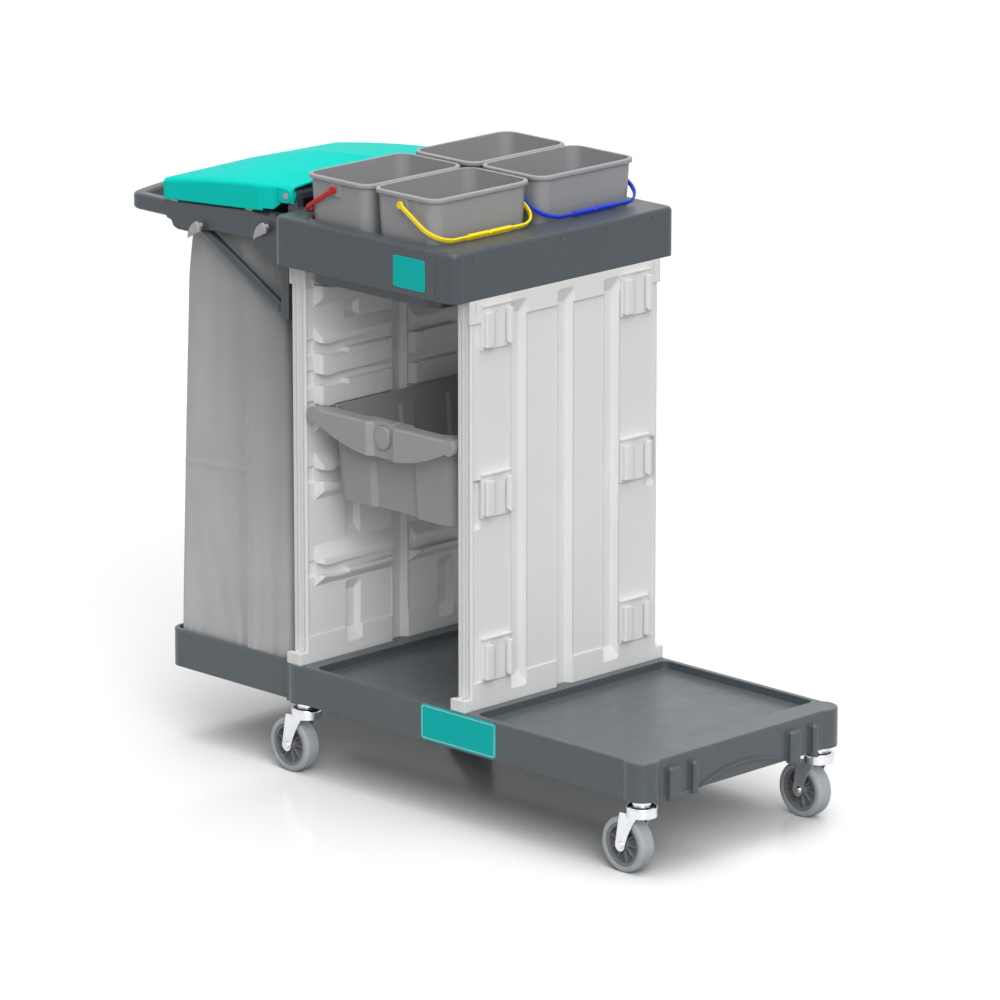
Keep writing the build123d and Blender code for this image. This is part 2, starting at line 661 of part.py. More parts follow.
def runner_block(low, high):
    """Raised block on the left half of an inner face: four sloped sides, round front edges."""
    near, far = BLOCK_Y
    low_ramp, high_ramp = BLOCK_RAMPS
    sections = []
    for x, end, z0, z1 in ((PANEL_HALF_T - FIELD_DEEP, 0.0, low, high),
                           (PANEL_HALF_T + BLOCK_OUT, BLOCK_END, low + low_ramp, high - high_ramp)):
        middle = Plane(origin=(x, (near + far) / 2, (z0 + z1) / 2), x_dir=(0, 1, 0), z_dir=(1, 0, 0))
        sections.append(middle * Rectangle(far - near - 2 * end, z1 - z0))
    block = loft(sections)
    return fillet(block.faces().sort_by(Axis.X)[-1].edges(), BLOCK_EDGE_R)


def runner_slot(top):
    """Slot for a drawer's flange in a runner block: a winged mouth, a level run and a click notch."""
    low = top - SLOT_H
    click_in, click_out = CLICK_Y
    level = [(SLOT_END, top), (SLOT_END, low), (click_in, low), (click_in, low - CLICK_DEEP),
             (click_out, low - CLICK_DEEP), (click_out, low)]
    mouth_upper = [(y, top + rise) for y, rise in MOUTH_UPPER]
    mouth_lower = [(y, top + rise) for y, rise in MOUTH_LOWER]
    return profile(shape(*mouth_upper, *level, *mouth_lower), 0, PANEL_HALF_T + BLOCK_OUT + 1)


def runners():
    """Bars of the runner blocks above and below each slot, on both halves of an inner face."""
    bars = []
    for low, high in BLOCK_Z:
        slots = [runner_slot(top) for top in SLOT_TOPS if low < top < high]
        bars += cut_all(runner_block(low, high), slots).solids()
    return bars + [mirror(bar, about=Plane.XZ) for bar in bars]


def stand_panel(half, end, facing):
    """Half shell set at its panel's place, facing +X or -X."""
    turned = half if facing > 0 else mirror(half, about=Plane.YZ)
    return Pos(at(PANEL_BACK[end]), 0, 0) * turned


def clip_rail(y, z):
    """Seated plate with a top ledge and two upright rails whose lips face each other."""
    face = at(PANEL_BACK["front"]) + PANEL_HALF_T
    front = face + CLIP_DEEP
    y0 = y - CLIP_W / 2
    y1 = y + CLIP_W / 2
    top = z + CLIP_H / 2
    seat = slab(face - FIELD_DEEP, face + CLIP_PROUD, y0, y1, z - CLIP_H / 2, top)
    ledge = slab(face, face + CLIP_PROUD + CLIP_LEDGE, y0, y1, top - CLIP_LEDGE, top)
    body = seat + ledge
    low = z - CLIP_RAIL_H / 2 - CLIP_EDGE
    high = low + CLIP_RAIL_H
    wide, slim = CLIP_RAIL_W
    for start, width, lip in ((y0 + CLIP_EDGE, wide, CLIP_LIP), (y1 - CLIP_EDGE - slim, slim, -CLIP_LIP)):
        rail = slab(face, front, start, start + width, low, high)
        rail = fillet(rail.edges().filter_by(Axis.Z).group_by(Axis.X)[-1], CLIP_EDGE)
        edge = start + width if lip > 0 else start
        body += rail
        body += slab(front - 2 * CLIP_EDGE, front - CLIP_EDGE, edge - lip, edge + lip,
                     low + CLIP_EDGE, high - CLIP_EDGE)
    return body


def foot_screws():
    """Screws with low round heads in the panels' feet."""
    return [post(x, y, BASE_TOP - FOOT_SCREW_DEEP, FOOT_TOP, FOOT_SCREW_R - SNUG)
            + post(x, y, FOOT_TOP, FOOT_TOP + FOOT_HEAD_H, FOOT_HEAD_R) for x, y in foot_screw_places()]


def drawer_box(inset, bottom, top):
    """Tapered tub solid, drawn in by inset on every side."""
    x = at(COMPARTMENT_BACK)
    lean = (DRAWER_TOP - bottom) * math.tan(math.radians(DRAWER_TAPER))
    half_x = DRAWER_HALF_X - inset - lean
    half_y = DRAWER_HALF_Y - inset - lean
    r = DRAWER_R - inset / 2
    return rounded_slab(x - half_x, x + half_x, -half_y, half_y, bottom, top, r, -DRAWER_TAPER)


def leaning_prism(section, foot, outward, top):
    """Upright prism that leans with a tub wall; the section is drawn across and out of the wall."""
    lean = math.tan(math.radians(DRAWER_TAPER))
    down = Vector(-outward[0] * lean, -outward[1] * lean, -1)
    across = Vector(-outward[1], outward[0], 0)
    face = Plane(origin=(foot[0], foot[1], top), x_dir=across, z_dir=down)
    return extrude(face * section, amount=DRAWER_TOP - DRAWER_BOTTOM + 20)


def drawer_channels(grow):
    """Front and back channels and side bumps of the tub, grown by a wall for its inside."""
    x = at(COMPARTMENT_BACK)
    out = LIP_OUT - DRAWER_HALF_Y
    sections = []
    for width, depth in ((CHANNEL_W, CHANNEL_DEEP), (BUMP_W, BUMP_DEEP)):
        half = width / 2 + grow
        deep = depth + grow
        sections.append(shape((-half, 0), (-half, out), (half, out), (half, 0),
                              (half - deep, -deep), (deep - half, -deep)))
    channel, bump = sections
    lean = math.tan(math.radians(DRAWER_TAPER))
    channel_top = DRAWER_TOP - LIP_SKIN + grow
    prisms = []
    for side in SIDES.values():
        wall_y = side * (DRAWER_HALF_Y - (DRAWER_TOP - channel_top) * lean)
        prisms.append(leaning_prism(channel, (x, wall_y), (0, side), channel_top))
        wall_x = x + side * (DRAWER_HALF_X - (DRAWER_TOP - BUMP_TOP) * lean)
        prisms += [leaning_prism(bump, (wall_x, y), (side, 0), BUMP_TOP + grow) for y in BUMP_Y]
    return prisms


def lip_plan(side):
    """Plan of a drawer lip, with its middle set back between two bevels."""
    x = at(COMPARTMENT_BACK)
    wall = side * (DRAWER_HALF_Y - DRAWER_WALL)
    outer = side * LIP_OUT
    middle = side * (LIP_OUT - LIP_MID_DEEP)
    floor_half = LIP_MID_HALF - LIP_MID_DEEP
    ahead = [(LIP_HALF_X, wall), (LIP_HALF_X, outer), (LIP_MID_HALF, outer), (floor_half, middle)]
    return Pos(x, 0) * shape(*ahead, *[(-across, y) for across, y in reversed(ahead)])


def drawer_lip(side):
    """Lip at one end of the drawer: bowed apron open below, with a raised middle."""
    x = at(COMPARTMENT_BACK)
    outer = side * LIP_OUT
    wall = side * (DRAWER_HALF_Y - DRAWER_WALL)
    plan = lip_plan(side)
    block = extrude(Pos(0, 0, LIP_LOW_Z) * plan, amount=DRAWER_TOP - LIP_LOW_Z)
    top_edges = block.faces().sort_by(Axis.Z)[-1].edges().sort_by(Axis.Y)
    block = fillet(top_edges[:-1] if side < 0 else top_edges[1:], LIP_EDGE_R)
    hollow = extrude(Pos(0, 0, LIP_LOW_Z) * offset(plan, -LIP_SKIN), amount=DRAWER_TOP - LIP_SKIN - LIP_LOW_Z)
    start = (x - LIP_HALF_X, LIP_END_Z)
    bow = ThreePointArc(start, (x, LIP_LOW_Z), (x + LIP_HALF_X, LIP_END_Z))
    rest = Polyline(bow @ 1, (x + LIP_HALF_X, DRAWER_TOP), (x - LIP_HALF_X, DRAWER_TOP), start)
    body = (block - hollow) & plate(make_face([bow, rest]), wall, outer)
    floor_half = LIP_MID_HALF - LIP_MID_DEEP
    body += slab(x - floor_half, x + floor_half, wall, side * (LIP_OUT - LIP_MID_DEEP),
                 DRAWER_TOP - LIP_SKIN, DRAWER_TOP + LIP_MID_RAISE)
    return body


def drawer_tub():
    """Drawer tub with two lips, knobs at the front lip's ends, and flanges that slide in the runner slots."""
    x = at(COMPARTMENT_BACK)
    body = cut_all(drawer_box(0, DRAWER_BOTTOM, DRAWER_TOP), drawer_channels(0))
    body = fuse_all(body, [drawer_lip(side) for side in SIDES.values()])
    low = SLOT_TOPS[DRAWER_SLOT] - SLOT_H + GAP
    reach = COMPARTMENT_HALF - BLOCK_OUT + FLANGE_OUT
    flange_half = DRAWER_HALF_Y - DRAWER_WALL
    for end in (-1, 1):
        body += slab(x + end * (DRAWER_HALF_X - DRAWER_WALL), x + end * reach, -flange_half, flange_half,
                     low, low + FLANGE_T)
        body += rod(x + end * KNOB_X, -LIP_OUT, KNOB_L - LIP_OUT, KNOB_Z, KNOB_R)
        body += slab(x + end * (LIP_HALF_X - LIP_SKIN), x + end * KNOB_X, -LIP_OUT, KNOB_L - LIP_OUT, *NECK_Z)
    inside = drawer_box(DRAWER_WALL, DRAWER_BOTTOM + DRAWER_WALL, DRAWER_TOP + 2 * LIP_MID_RAISE)
    body -= cut_all(inside, drawer_channels(DRAWER_WALL))
    hole = RectangleRounded(BUTTON_W + 2 * GAP, BUTTON_H + 2 * GAP, BUTTON_R + GAP)
    front = LIP_MID_DEEP - LIP_OUT
    return body - plate(Pos(x, BUTTON_Z) * hole, front - 1, front + LIP_SKIN + 1)


def drawer_button():
    """Oval push button in the lip's middle, kept in by a flange behind the apron."""
    place = Pos(at(COMPARTMENT_BACK), BUTTON_Z)
    front = LIP_MID_DEEP - LIP_OUT
    back = front + LIP_SKIN + GAP
    cap = plate(place * RectangleRounded(BUTTON_W, BUTTON_H, BUTTON_R), front - BUTTON_PROUD, back)
    cap = fillet(cap.faces().sort_by(Axis.Y)[0].edges(), BUTTON_EDGE_R)
    grow = 2 * BUTTON_FLANGE
    ring = RectangleRounded(BUTTON_W + grow, BUTTON_H - grow, BUTTON_R - BUTTON_FLANGE)
    return cap + plate(place * ring, back, back + BUTTON_FLANGE)


def upper_tray():
    """Tray with a skirt all round, a deep well for the buckets and ribs over the panels' tops."""
    near, far = TRAY_BACK
    low, high = TRAY_Z
    body = rounded_slab(at(far), at(near), -TRAY_HALF, TRAY_HALF, low, high, TRAY_R)
    body = fillet(body.faces().sort_by(Axis.Z)[-1].edges(), TRAY_EDGE_R)
    hollow_half = TRAY_HALF - TRAY_WALL
    body -= rounded_slab(at(far - TRAY_WALL), at(near + TRAY_WALL), -hollow_half, hollow_half,
                         low - 1, high - TRAY_WALL, TRAY_R - TRAY_WALL)
    lean = (high - WELL_FLOOR) * math.tan(math.radians(WELL_TAPER))
    x0 = at(WELL_BACK[1]) + lean
    x1 = at(WELL_BACK[0]) - lean
    half = WELL_HALF - lean
    skin = TRAY_WALL
    tub = rounded_slab(x0 - skin, x1 + skin, -half - skin, half + skin, WELL_FLOOR - skin, high - 1,
                       WELL_R - lean + skin, -WELL_TAPER)
    ribs = []
    for back in PANEL_BACK.values():
        ribs += [slab(at(back + PANEL_HALF_T), at(back - PANEL_HALF_T), y, y + 2 * TRAY_WALL, low, high - 2)
                 for y in TRAY_RIB_Y]
    body = fuse_all(body + tub, ribs)
    body -= rounded_slab(x0, x1, -half, half, WELL_FLOOR, high + 20, WELL_R - lean, -WELL_TAPER)
    for back in SEAM_BACK:
        for side in SIDES.values():
            body -= slab(at(back), at(back) + SEAM_W, side * (TRAY_HALF - SEAM_W), side * (TRAY_HALF + 1),
                         low - 1, high - TRAY_EDGE_R)
    for y in TRAY_LUG_Y:
        body += Pos(at(near), y, TRAY_LUG_Z) * Rot(0, 90, 0) * Cylinder(TRAY_LUG_R, 2 * TRAY_LUG_PROUD)
    return body


def bucket(x, y):
    """Six-litre bucket: tapered shell with a rolled rim and a pivot plate and pin at each end."""
    bottom = WELL_FLOOR + GAP
    lean = (RIM_TOP - bottom) * math.tan(math.radians(BUCKET_TAPER))

    def shell(inset, z0, z1):
        rise = (RIM_TOP - z0) * math.tan(math.radians(BUCKET_TAPER))
        half_x = RIM_X / 2 - RIM_OUT - inset - rise
        half_y = RIM_Y / 2 - RIM_OUT - inset - rise
        r = RIM_R - RIM_OUT - inset - lean
        return rounded_slab(x - half_x, x + half_x, y - half_y, y + half_y, z0, z1, r, -BUCKET_TAPER)

    rim = rounded_slab(x - RIM_X / 2, x + RIM_X / 2, y - RIM_Y / 2, y + RIM_Y / 2,
                       RIM_TOP - RIM_H, RIM_TOP, RIM_R)
    rim = fillet(rim.faces().sort_by(Axis.Z)[-1].edges() + rim.faces().sort_by(Axis.Z)[0].edges(), RIM_EDGE_R)
    body = shell(0, bottom, RIM_TOP - 1) + rim
    wall = RIM_Y / 2 - RIM_OUT - BUCKET_WALL
    pin_end = BAIL_Y + BAIL_T / 2 - BAIL_CAP - GAP
    for side in SIDES.values():
        body += slab(x - PLATE_W / 2, x + PLATE_W / 2, y + side * (wall - 1), y + side * PLATE_OUT,
                     PIVOT_Z - PLATE_H / 2, PIVOT_Z + PLATE_H / 2)
        body += rod(x, y + side * (wall - 1), y + side * pin_end, PIVOT_Z, PIVOT_R)
    return body - shell(BUCKET_WALL, bottom + BUCKET_WALL, RIM_TOP + 20)


def bail(x, y, fold):
    """Round-edged bail with capped eyes on the bucket's pins and a thicker grip, lying folded to +X or -X."""
    def bow(half, reach, r):
        return FilletPolyline((0, -half), (reach, -half), (reach, half), (0, half), radius=r)

    reach = BAIL_REACH
    outer_half = BAIL_Y + BAIL_T / 2
    inner_half = BAIL_Y - BAIL_T / 2
    outer = bow(outer_half, reach + BAIL_T / 2, BAIL_CORNER_R + BAIL_T / 2)
    inner = bow(inner_half, reach - BAIL_T / 2, BAIL_CORNER_R - BAIL_T / 2)
    band = make_face([outer, Line(outer @ 1, inner @ 1), inner, Line(inner @ 0, outer @ 0)])
    body = extrude(Pos(0, 0, -BAIL_W / 2) * band, amount=BAIL_W)
    body = fillet(body.faces().filter_by(Axis.Z).edges(), BAIL_EDGE_R)
    grip = slab(reach - GRIP_T / 2, reach + GRIP_T / 2, -GRIP_L / 2, GRIP_L / 2, -GRIP_W / 2, GRIP_W / 2)
    body += fillet(grip.edges().filter_by(Axis.Y), GRIP_EDGE_R)
    body -= Pos(reach, 0, GRIP_W / 2) * Rot(0, 90, 0) * Cylinder(GRIP_NOTCH / 2, 3 * GRIP_T)
    for side in SIDES.values():
        body += rod(0, side * inner_half, side * outer_half, 0, BAIL_EYE_R)
        body -= rod(0, side * (inner_half - 5), side * (outer_half - BAIL_CAP), 0, PIVOT_R + RUNNING)
    turned = Rot(0, BAIL_REST, 0) * body
    if fold < 0:
        turned = mirror(turned, about=Plane.YZ)
    return Pos(x, y, PIVOT_Z) * turned


def bracket(side):
    """Hollow gusset bracket behind the tray, round at its lower corner; takes the arm's tongue."""
    near, far = BRACKET_BACK
    low, high = BRACKET_Z
    arc_start, arc_middle, arc_end = ((at(back), z) for back, z in BRACKET_ARC)
    corner = Polyline(arc_end, (at(far), high), (at(near), high), (at(near), low), arc_start)
    outline = make_face([corner, ThreePointArc(arc_start, arc_middle, arc_end)])
    body = plate(outline, side * ARM_IN, side * BRACKET_OUT)
    inner = side * (ARM_IN + BRACKET_SKIN)
    outer = side * (BRACKET_OUT - BRACKET_SKIN)
    hollow = plate(offset(outline, -BRACKET_SKIN), inner, outer)
    tongue_low, tongue_high = TONGUE_Z
    mouth = slab(at(far) - 1, at(far) + 2 * BRACKET_SKIN, inner, outer, tongue_low - SNUG, tongue_high + SNUG)
    cap_y = side * (BRACKET_OUT - BRACKET_CAP_R - BRACKET_SKIN)
    cap = post(at(BRACKET_CAP_BACK), cap_y, high, high + BRACKET_CAP_H, BRACKET_CAP_R)
    return body - hollow - mouth + cap


def arm(side):
    """Side arm of the bag holder: channel open below, a lug for the strut and a tongue in the bracket."""
    outline = shape(*[(at(back), z) for back, z in ARM_TOP + ARM_UNDER])
    lug_near, lug_far = ARM_LUG_BACK
    bends = outline.vertices().filter_by_position(Axis.X, at(lug_far), at(lug_near))
    outline = fillet(bends.sort_by(Axis.Y)[:3], ARM_LUG_R)
    body = plate(outline, side * ARM_IN, side * ARM_OUT)
    inner = side * (ARM_IN + ARM_SKIN)
    outer = side * (ARM_OUT - ARM_SKIN)
    front = at(ARM_TOP[0][0])
    inside = plate(offset(outline, -ARM_SKIN), inner, outer)
    drop = slab(at(ARM_TOP[-1][0]) + ARM_SKIN, front - ARM_SKIN, inner, outer, ARM_OPEN_Z[0], ARM_OPEN_Z[1])
    tongue = slab(front - 1, at(TONGUE_BACK), side * (ARM_IN + 2 * ARM_SKIN), outer, *TONGUE_Z)
    pin = rod(at(STRUT_HIGH[0]), side * (ARM_IN - 1), side * (ARM_OUT + 1), STRUT_HIGH[1], STRUT_PIN_R + SNUG)
    return body - inside - drop + tongue - pin


def push_handle():
    """Bowed push handle between the two arms' rear ends."""
    start_x = at(ARM_TOP[-1][0])
    bend_x = at(HANDLE_BEND_BACK)
    bow_x = at(HANDLE_BOW_BACK)
    swing = math.radians((90 - HANDLE_BOW) / 2)
    runs = []
    for side in SIDES.values():
        centre_y = HANDLE_Y - HANDLE_BEND_R
        knee = (bend_x - HANDLE_BEND_R * math.sin(swing), side * (centre_y + HANDLE_BEND_R * math.cos(swing)))
        runs.append(Line((start_x, side * HANDLE_Y), (bend_x, side * HANDLE_Y)))
        runs.append(ThreePointArc((bend_x, side * HANDLE_Y), knee, (bow_x, side * HANDLE_HALF)))
    runs.append(ThreePointArc((bow_x, -HANDLE_HALF), (at(HANDLE_MID_BACK), 0), (bow_x, HANDLE_HALF)))
    path = Pos(0, 0, HANDLE_Z) * Wire(runs)
    section = Plane(origin=(start_x, -HANDLE_Y, HANDLE_Z), x_dir=(0, 1, 0), z_dir=(-1, 0, 0))
    return sweep(section * RectangleRounded(HANDLE_WIDE, HANDLE_TALL, HANDLE_EDGE_R), path=path)


def strut(side):
    """Stay from the arm's lug down to the post, round on its upper side."""
    (low_back, low_z), (high_back, high_z) = STRUT_LOW, STRUT_HIGH
    low_x = at(low_back)
    run = high_back - low_back
    rise = high_z - low_z
    length = math.hypot(run, rise)
    near, far = STRUT_Y
    bar = plate(SlotCenterToCenter(length, STRUT_W), near, far)
    sides = bar.faces().sort_by(Axis.Y)
    bar = fillet(sides[-1].edges() + sides[0].edges(), STRUT_EDGE_R)
    bar -= rod(-length / 2, 0, 2 * far, 0, STRUT_PIN_R + SNUG)
    bar -= rod(length / 2, 0, 2 * far, 0, STRUT_PIN_R + SNUG)
    turned = Pos(low_x - run / 2, 0, low_z + rise / 2) * Rot(0, math.degrees(math.atan2(rise, run)), 0) * bar
    return turned if side > 0 else mirror(turned, about=Plane.XZ)


def holder_post(side):
    """Post under the bracket that carries the strut's lower end and is fixed to the rear panel."""
    near, far = POST_BACK
    x = at(STRUT_LOW[0])
    z = STRUT_LOW[1]
    post_in, post_out = (side * y for y in POST_Y)
    body = slab(at(far), at(near), post_in, post_out, POST_BOTTOM, BRACKET_Z[0])
    ear = Pos(x, z) * Circle(POST_EAR_R) + shape((x, z - POST_EAR_R), (at(near), z - POST_EAR_R),
                                                 (at(near), z + POST_EAR_R), (x, z + POST_EAR_R))
    ear_in, ear_out = (side * y for y in POST_EAR_Y)
    body += plate(ear, ear_in, ear_out)
    panel_face = at(PANEL_BACK["rear"] + PANEL_HALF_T + COLLAR_PROUD)
    web_in, web_out = (side * y for y in POST_WEB_Y)
    body += slab(at(near) - 1, panel_face, web_in, web_out, *POST_WEB_Z)
    return body - rod(x, ear_in - side, ear_out + side, z, STRUT_PIN_R + SNUG)


def strut_pins():
    """Pins at both ends of both struts."""
    ends = ((STRUT_LOW, POST_EAR_Y[0], STRUT_Y[1] + 1), (STRUT_HIGH, ARM_IN, ARM_OUT))
    return [rod(at(back), side * inner, side * outer, z, STRUT_PIN_R)
            for side in SIDES.values() for (back, z), inner, outer in ends]


def hook(back, z, face, side):
    """Leaf-shaped accessory hook with a stud, which stands off a side face and is open below."""
    nose = ThreePointArc(HOOK_TIP, HOOK_NOSE_BEND, HOOK_CROWN)
    heel = ThreePointArc(HOOK_CROWN, HOOK_BACK_BEND, HOOK_HEEL)
    under = ThreePointArc(HOOK_HEEL, HOOK_UNDER_BEND, HOOK_TIP)
    place = Pos(at(back), z)
    stand = face + HOOK_STAND
    front = stand + HOOK_T
    leaf = plate(place * make_face([nose, heel, under]), side * stand, side * front)
    leaf = fillet(leaf.faces().filter_by(Axis.Y).edges(), HOOK_EDGE_R)
    neck = Pos(*HOOK_NECK) * SlotCenterToCenter(HOOK_NECK_L, HOOK_NECK_W, rotation=HOOK_NECK_TURN)
    stud_end = front + HOOK_STUD_R / 2
    stud = plate(place * Pos(*HOOK_STUD) * Circle(HOOK_STUD_R), side * stand, side * stud_end)
    return leaf + stud + plate(place * neck, side * face, side * (stand + 1))


def bag():
    """Open-topped bag that hangs between the arms and stands in the base's bag well."""
    def skin(inset, z0, z1):
        ends = []
        rims = ((z0, BAG_BOTTOM_BACK, BAG_BOTTOM_HALF), (z1, BAG_TOP_BACK, BAG_TOP_HALF))
        for z, (near, far), half in rims:
            middle = Pos(at((near + far) / 2), 0, z)
            ends.append(middle * RectangleRounded(far - near - 2 * inset, 2 * (half - inset), BAG_R - inset))
        return loft(ends)

    low = BAG_FLOOR + GAP
    return skin(0, low, BAG_TOP) - skin(BAG_WALL, low + BAG_WALL, BAG_TOP + 0.01)


def between(ends, share):
    """Value at this share of the way from the first end to the second."""
    return ends[0] + (ends[1] - ends[0]) * share


def lid_outline(back, inset, foot):
    """Section of the lid: upright sides down to foot, round edges, two slopes and a round ridge."""
    near, far = LID_BACK
    share = (back - near) / (far - near)
    neck_near, neck_far = LID_NECK_BACK
    turn = min(max((back - neck_near) / (neck_far - neck_near), 0), 1)
    r = LID_EDGE_R - min(inset, LID_SKIN)
    side = between(LID_HALF, turn * turn * (3 - 2 * turn)) - inset
    top = between(LID_RIDGE_Z, share ** LID_RIDGE_CURVE) - inset
    knee = between(LID_EDGE_Z, share ** LID_EDGE_CURVE) - inset - r
    ridge_r = LID_RIDGE_R - inset
    across = side - r
    rise = top - ridge_r - knee
    slope = math.atan2(rise, across) + math.asin((ridge_r - r) / math.hypot(across, rise))
    half_bend = (math.pi / 2 - slope) / 2
    bend_y = across + r * math.cos(half_bend)
    bend_z = knee + r * math.sin(half_bend)
    eave_y = across + r * math.sin(slope)
    eave_z = knee + r * math.cos(slope)
    crest_y = ridge_r * math.sin(slope)
    crest_z = top - ridge_r * (1 - math.cos(slope))
    right = ThreePointArc((-side, knee), (-bend_y, bend_z), (-eave_y, eave_z))
    right_slope = Line((-eave_y, eave_z), (-crest_y, crest_z))
    ridge = ThreePointArc((-crest_y, crest_z), (0, top), (crest_y, crest_z))
    left_slope = Line((crest_y, crest_z), (eave_y, eave_z))
    left = ThreePointArc((eave_y, eave_z), (bend_y, bend_z), (side, knee))
    rest = Polyline((side, knee), (side, foot), (-side, foot), (-side, knee))
    return make_face([right, right_slope, ridge, left_slope, left, rest])


def lid_solid(stations, drop):
    """Solid through the lid's sections at stations (back, inset), its lower edge let down by drop."""
    near, far = LID_BACK
    sections = []
    for back, inset in stations:
        foot = between(LID_LOW_Z, (back - near) / (far - near)) - drop
        plane = Plane(origin=(at(back), 0, 0), x_dir=(0, 1, 0), z_dir=(1, 0, 0))
        sections.append(plane * lid_outline(back, inset, foot))
    return loft(sections, ruled=True)


def lid():
    """Low ridged shell, open below and at its hinge end, with a round handle end and two hinge ears."""
    near, far = LID_BACK
    stations = [between((near, far - LID_END_R), n / LID_STEPS) for n in range(LID_STEPS)]
    round_end = []
    for n in range(LID_END_STEPS + 1):
        swing = math.radians(90 * n / LID_END_STEPS)
        round_end.append((far - LID_END_R * (1 - math.sin(swing)), LID_END_R * (1 - math.cos(swing))))
    outside = lid_solid([(back, 0.0) for back in stations] + round_end, 0.0)
    body = outside - lid_solid([(back, LID_SKIN) for back in stations + [far - LID_SKIN]], LID_DROP)
    body -= plate(shape(*[(at(back), z) for back, z in LID_NOTCH]), -BASE_HALF, BASE_HALF)
    x = at(HINGE_BACK)
    root = x - LID_EAR_L
    ear = Pos(x, HINGE_Z) * Circle(LID_EAR_R) + shape((root, HINGE_Z - LID_EAR_R), (x, HINGE_Z - LID_EAR_R),
                                                      (x, HINGE_Z + LID_EAR_R), (root, HINGE_Z + LID_EAR_R))
    for side in SIDES.values():
        ear_in = side * LID_EAR_IN
        ear_out = side * LID_EAR_OUT
        body += plate(ear, ear_in, ear_out)
        body -= rod(x, ear_in - side, ear_out + side, HINGE_Z, LID_PIN_R + RUNNING)
    return body


def lid_pads():
    """Rest pads under the lid's side edges."""
    pads = []
    outer = LID_HALF[1] - LID_SKIN - SNUG
    (near, near_z), (far, far_z), _ = ARM_TOP
    for back in LID_PAD_BACK:
        pad_near = back - LID_PAD_L / 2
        arm_z = near_z + (far_z - near_z) * (pad_near - near) / (far - near)
        for side in SIDES.values():
            pads.append(slab(at(back + LID_PAD_L / 2), at(pad_near), side * (outer - LID_PAD_W), side * outer,
                             arm_z + GAP, arm_z + LID_PAD_H))
    return pads


def lid_bracket(side):
    """Bracket on the tray's rear face that carries the lid's hinge pin and tube."""
    x = at(HINGE_BACK)
    low, high = LID_BRACKET_Z
    outline = shape((at(TRAY_BACK[1]), low), (at(TRAY_BACK[1]), high), (x + LID_BRACKET_R, high),
                    (x + LID_BRACKET_R, HINGE_Z), (x - LID_BRACKET_R, HINGE_Z), (x - LID_BRACKET_R, low))
    outline += Pos(x, HINGE_Z) * Circle(LID_BRACKET_R)
    near, far = (side * y for y in LID_BRACKET_Y)
    return plate(outline, near, far) - rod(x, near - side, far + side, HINGE_Z, LID_PIN_R + SNUG)


def lid_hinge_pins():
    """Pins through the lid's ears into the hinge brackets."""
    x = at(HINGE_BACK)
    return [rod(x, side * LID_BRACKET_Y[0], side * (LID_EAR_OUT + 1), HINGE_Z, LID_PIN_R)
            for side in SIDES.values()]


def main():
    os.makedirs("parts", exist_ok=True)
    save("base_deck", base_deck())
    inner = inner_half()
    bars = runners()
    for end, facing in (("front", 1), ("rear", -1)):
        save(f"{end}_panel_outer", stand_panel(outer_half(end == "front"), end, facing))
        save(f"{end}_panel_inner", stand_panel(inner, end, -facing))
        save(f"{end}_panel_runners", [stand_panel(bar, end, -facing) for bar in bars])
    save("panel_foot_screws", foot_screws())
    save("front_panel_clip_rails", [clip_rail(y, z) for y, z in clip_places()])
    for name, (x, y) in caster_places().items():
        save(f"{name}_caster_stem", caster_stem(x, y))
        save(f"{name}_caster_fork", caster_fork(x, y))
        save(f"{name}_caster_axle", caster_axle(x, y))
        save(f"{name}_wheel_hub", wheel_hub(x, y))
        save(f"{name}_wheel_tyre", wheel_tyre(x, y))
    save("drawer_tub", drawer_tub())
    save("drawer_button", drawer_button())
    save("upper_tray", upper_tray())
    for colour, end, side in (("yellow", "front", RIGHT), ("blue", "front", LEFT),
                              ("red", "rear", RIGHT), ("green", "rear", LEFT)):
        x = at(BUCKET_BACK[end])
        y = side * BUCKET_Y
        save(f"{colour}_bucket", bucket(x, y))
        save(f"{colour}_bail", bail(x, y, 1 if end == "front" else -1))
    for name, side in SIDES.items():
        save(f"{name}_bracket", bracket(side))
        save(f"{name}_arm", arm(side))
        save(f"{name}_strut", strut(side))
        save(f"{name}_post", holder_post(side))
        save(f"{name}_hooks", [hook(*place, side) for place in HOOKS])
        save(f"{name}_lid_bracket", lid_bracket(side))
    save("push_handle", push_handle())
    save("strut_pins", strut_pins())
    save("bag", bag())
    save("lid", lid())
    save("lid_pads", lid_pads())
    tube_half = LID_BRACKET_Y[0]
    save("lid_hinge_tube", rod(at(HINGE_BACK), -tube_half, tube_half, HINGE_Z, HINGE_TUBE_R))
    save("lid_hinge_pins", lid_hinge_pins())


main()
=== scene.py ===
import json
import math

import bpy
import numpy as np
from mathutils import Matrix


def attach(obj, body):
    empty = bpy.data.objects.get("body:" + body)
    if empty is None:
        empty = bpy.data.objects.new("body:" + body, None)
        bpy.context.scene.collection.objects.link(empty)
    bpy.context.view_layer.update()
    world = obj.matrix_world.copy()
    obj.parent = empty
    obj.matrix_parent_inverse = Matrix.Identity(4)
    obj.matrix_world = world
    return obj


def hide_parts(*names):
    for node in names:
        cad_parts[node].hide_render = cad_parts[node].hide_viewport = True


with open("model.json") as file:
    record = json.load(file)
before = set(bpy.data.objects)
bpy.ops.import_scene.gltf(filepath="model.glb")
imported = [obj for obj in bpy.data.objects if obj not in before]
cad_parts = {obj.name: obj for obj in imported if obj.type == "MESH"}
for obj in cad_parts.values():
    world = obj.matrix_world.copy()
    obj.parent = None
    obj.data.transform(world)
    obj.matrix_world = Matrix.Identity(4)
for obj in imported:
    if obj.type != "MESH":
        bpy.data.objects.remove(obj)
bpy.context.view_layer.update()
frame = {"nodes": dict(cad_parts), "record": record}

NODES = frame["nodes"]
SUBPARTS = frame["record"]["subparts"]

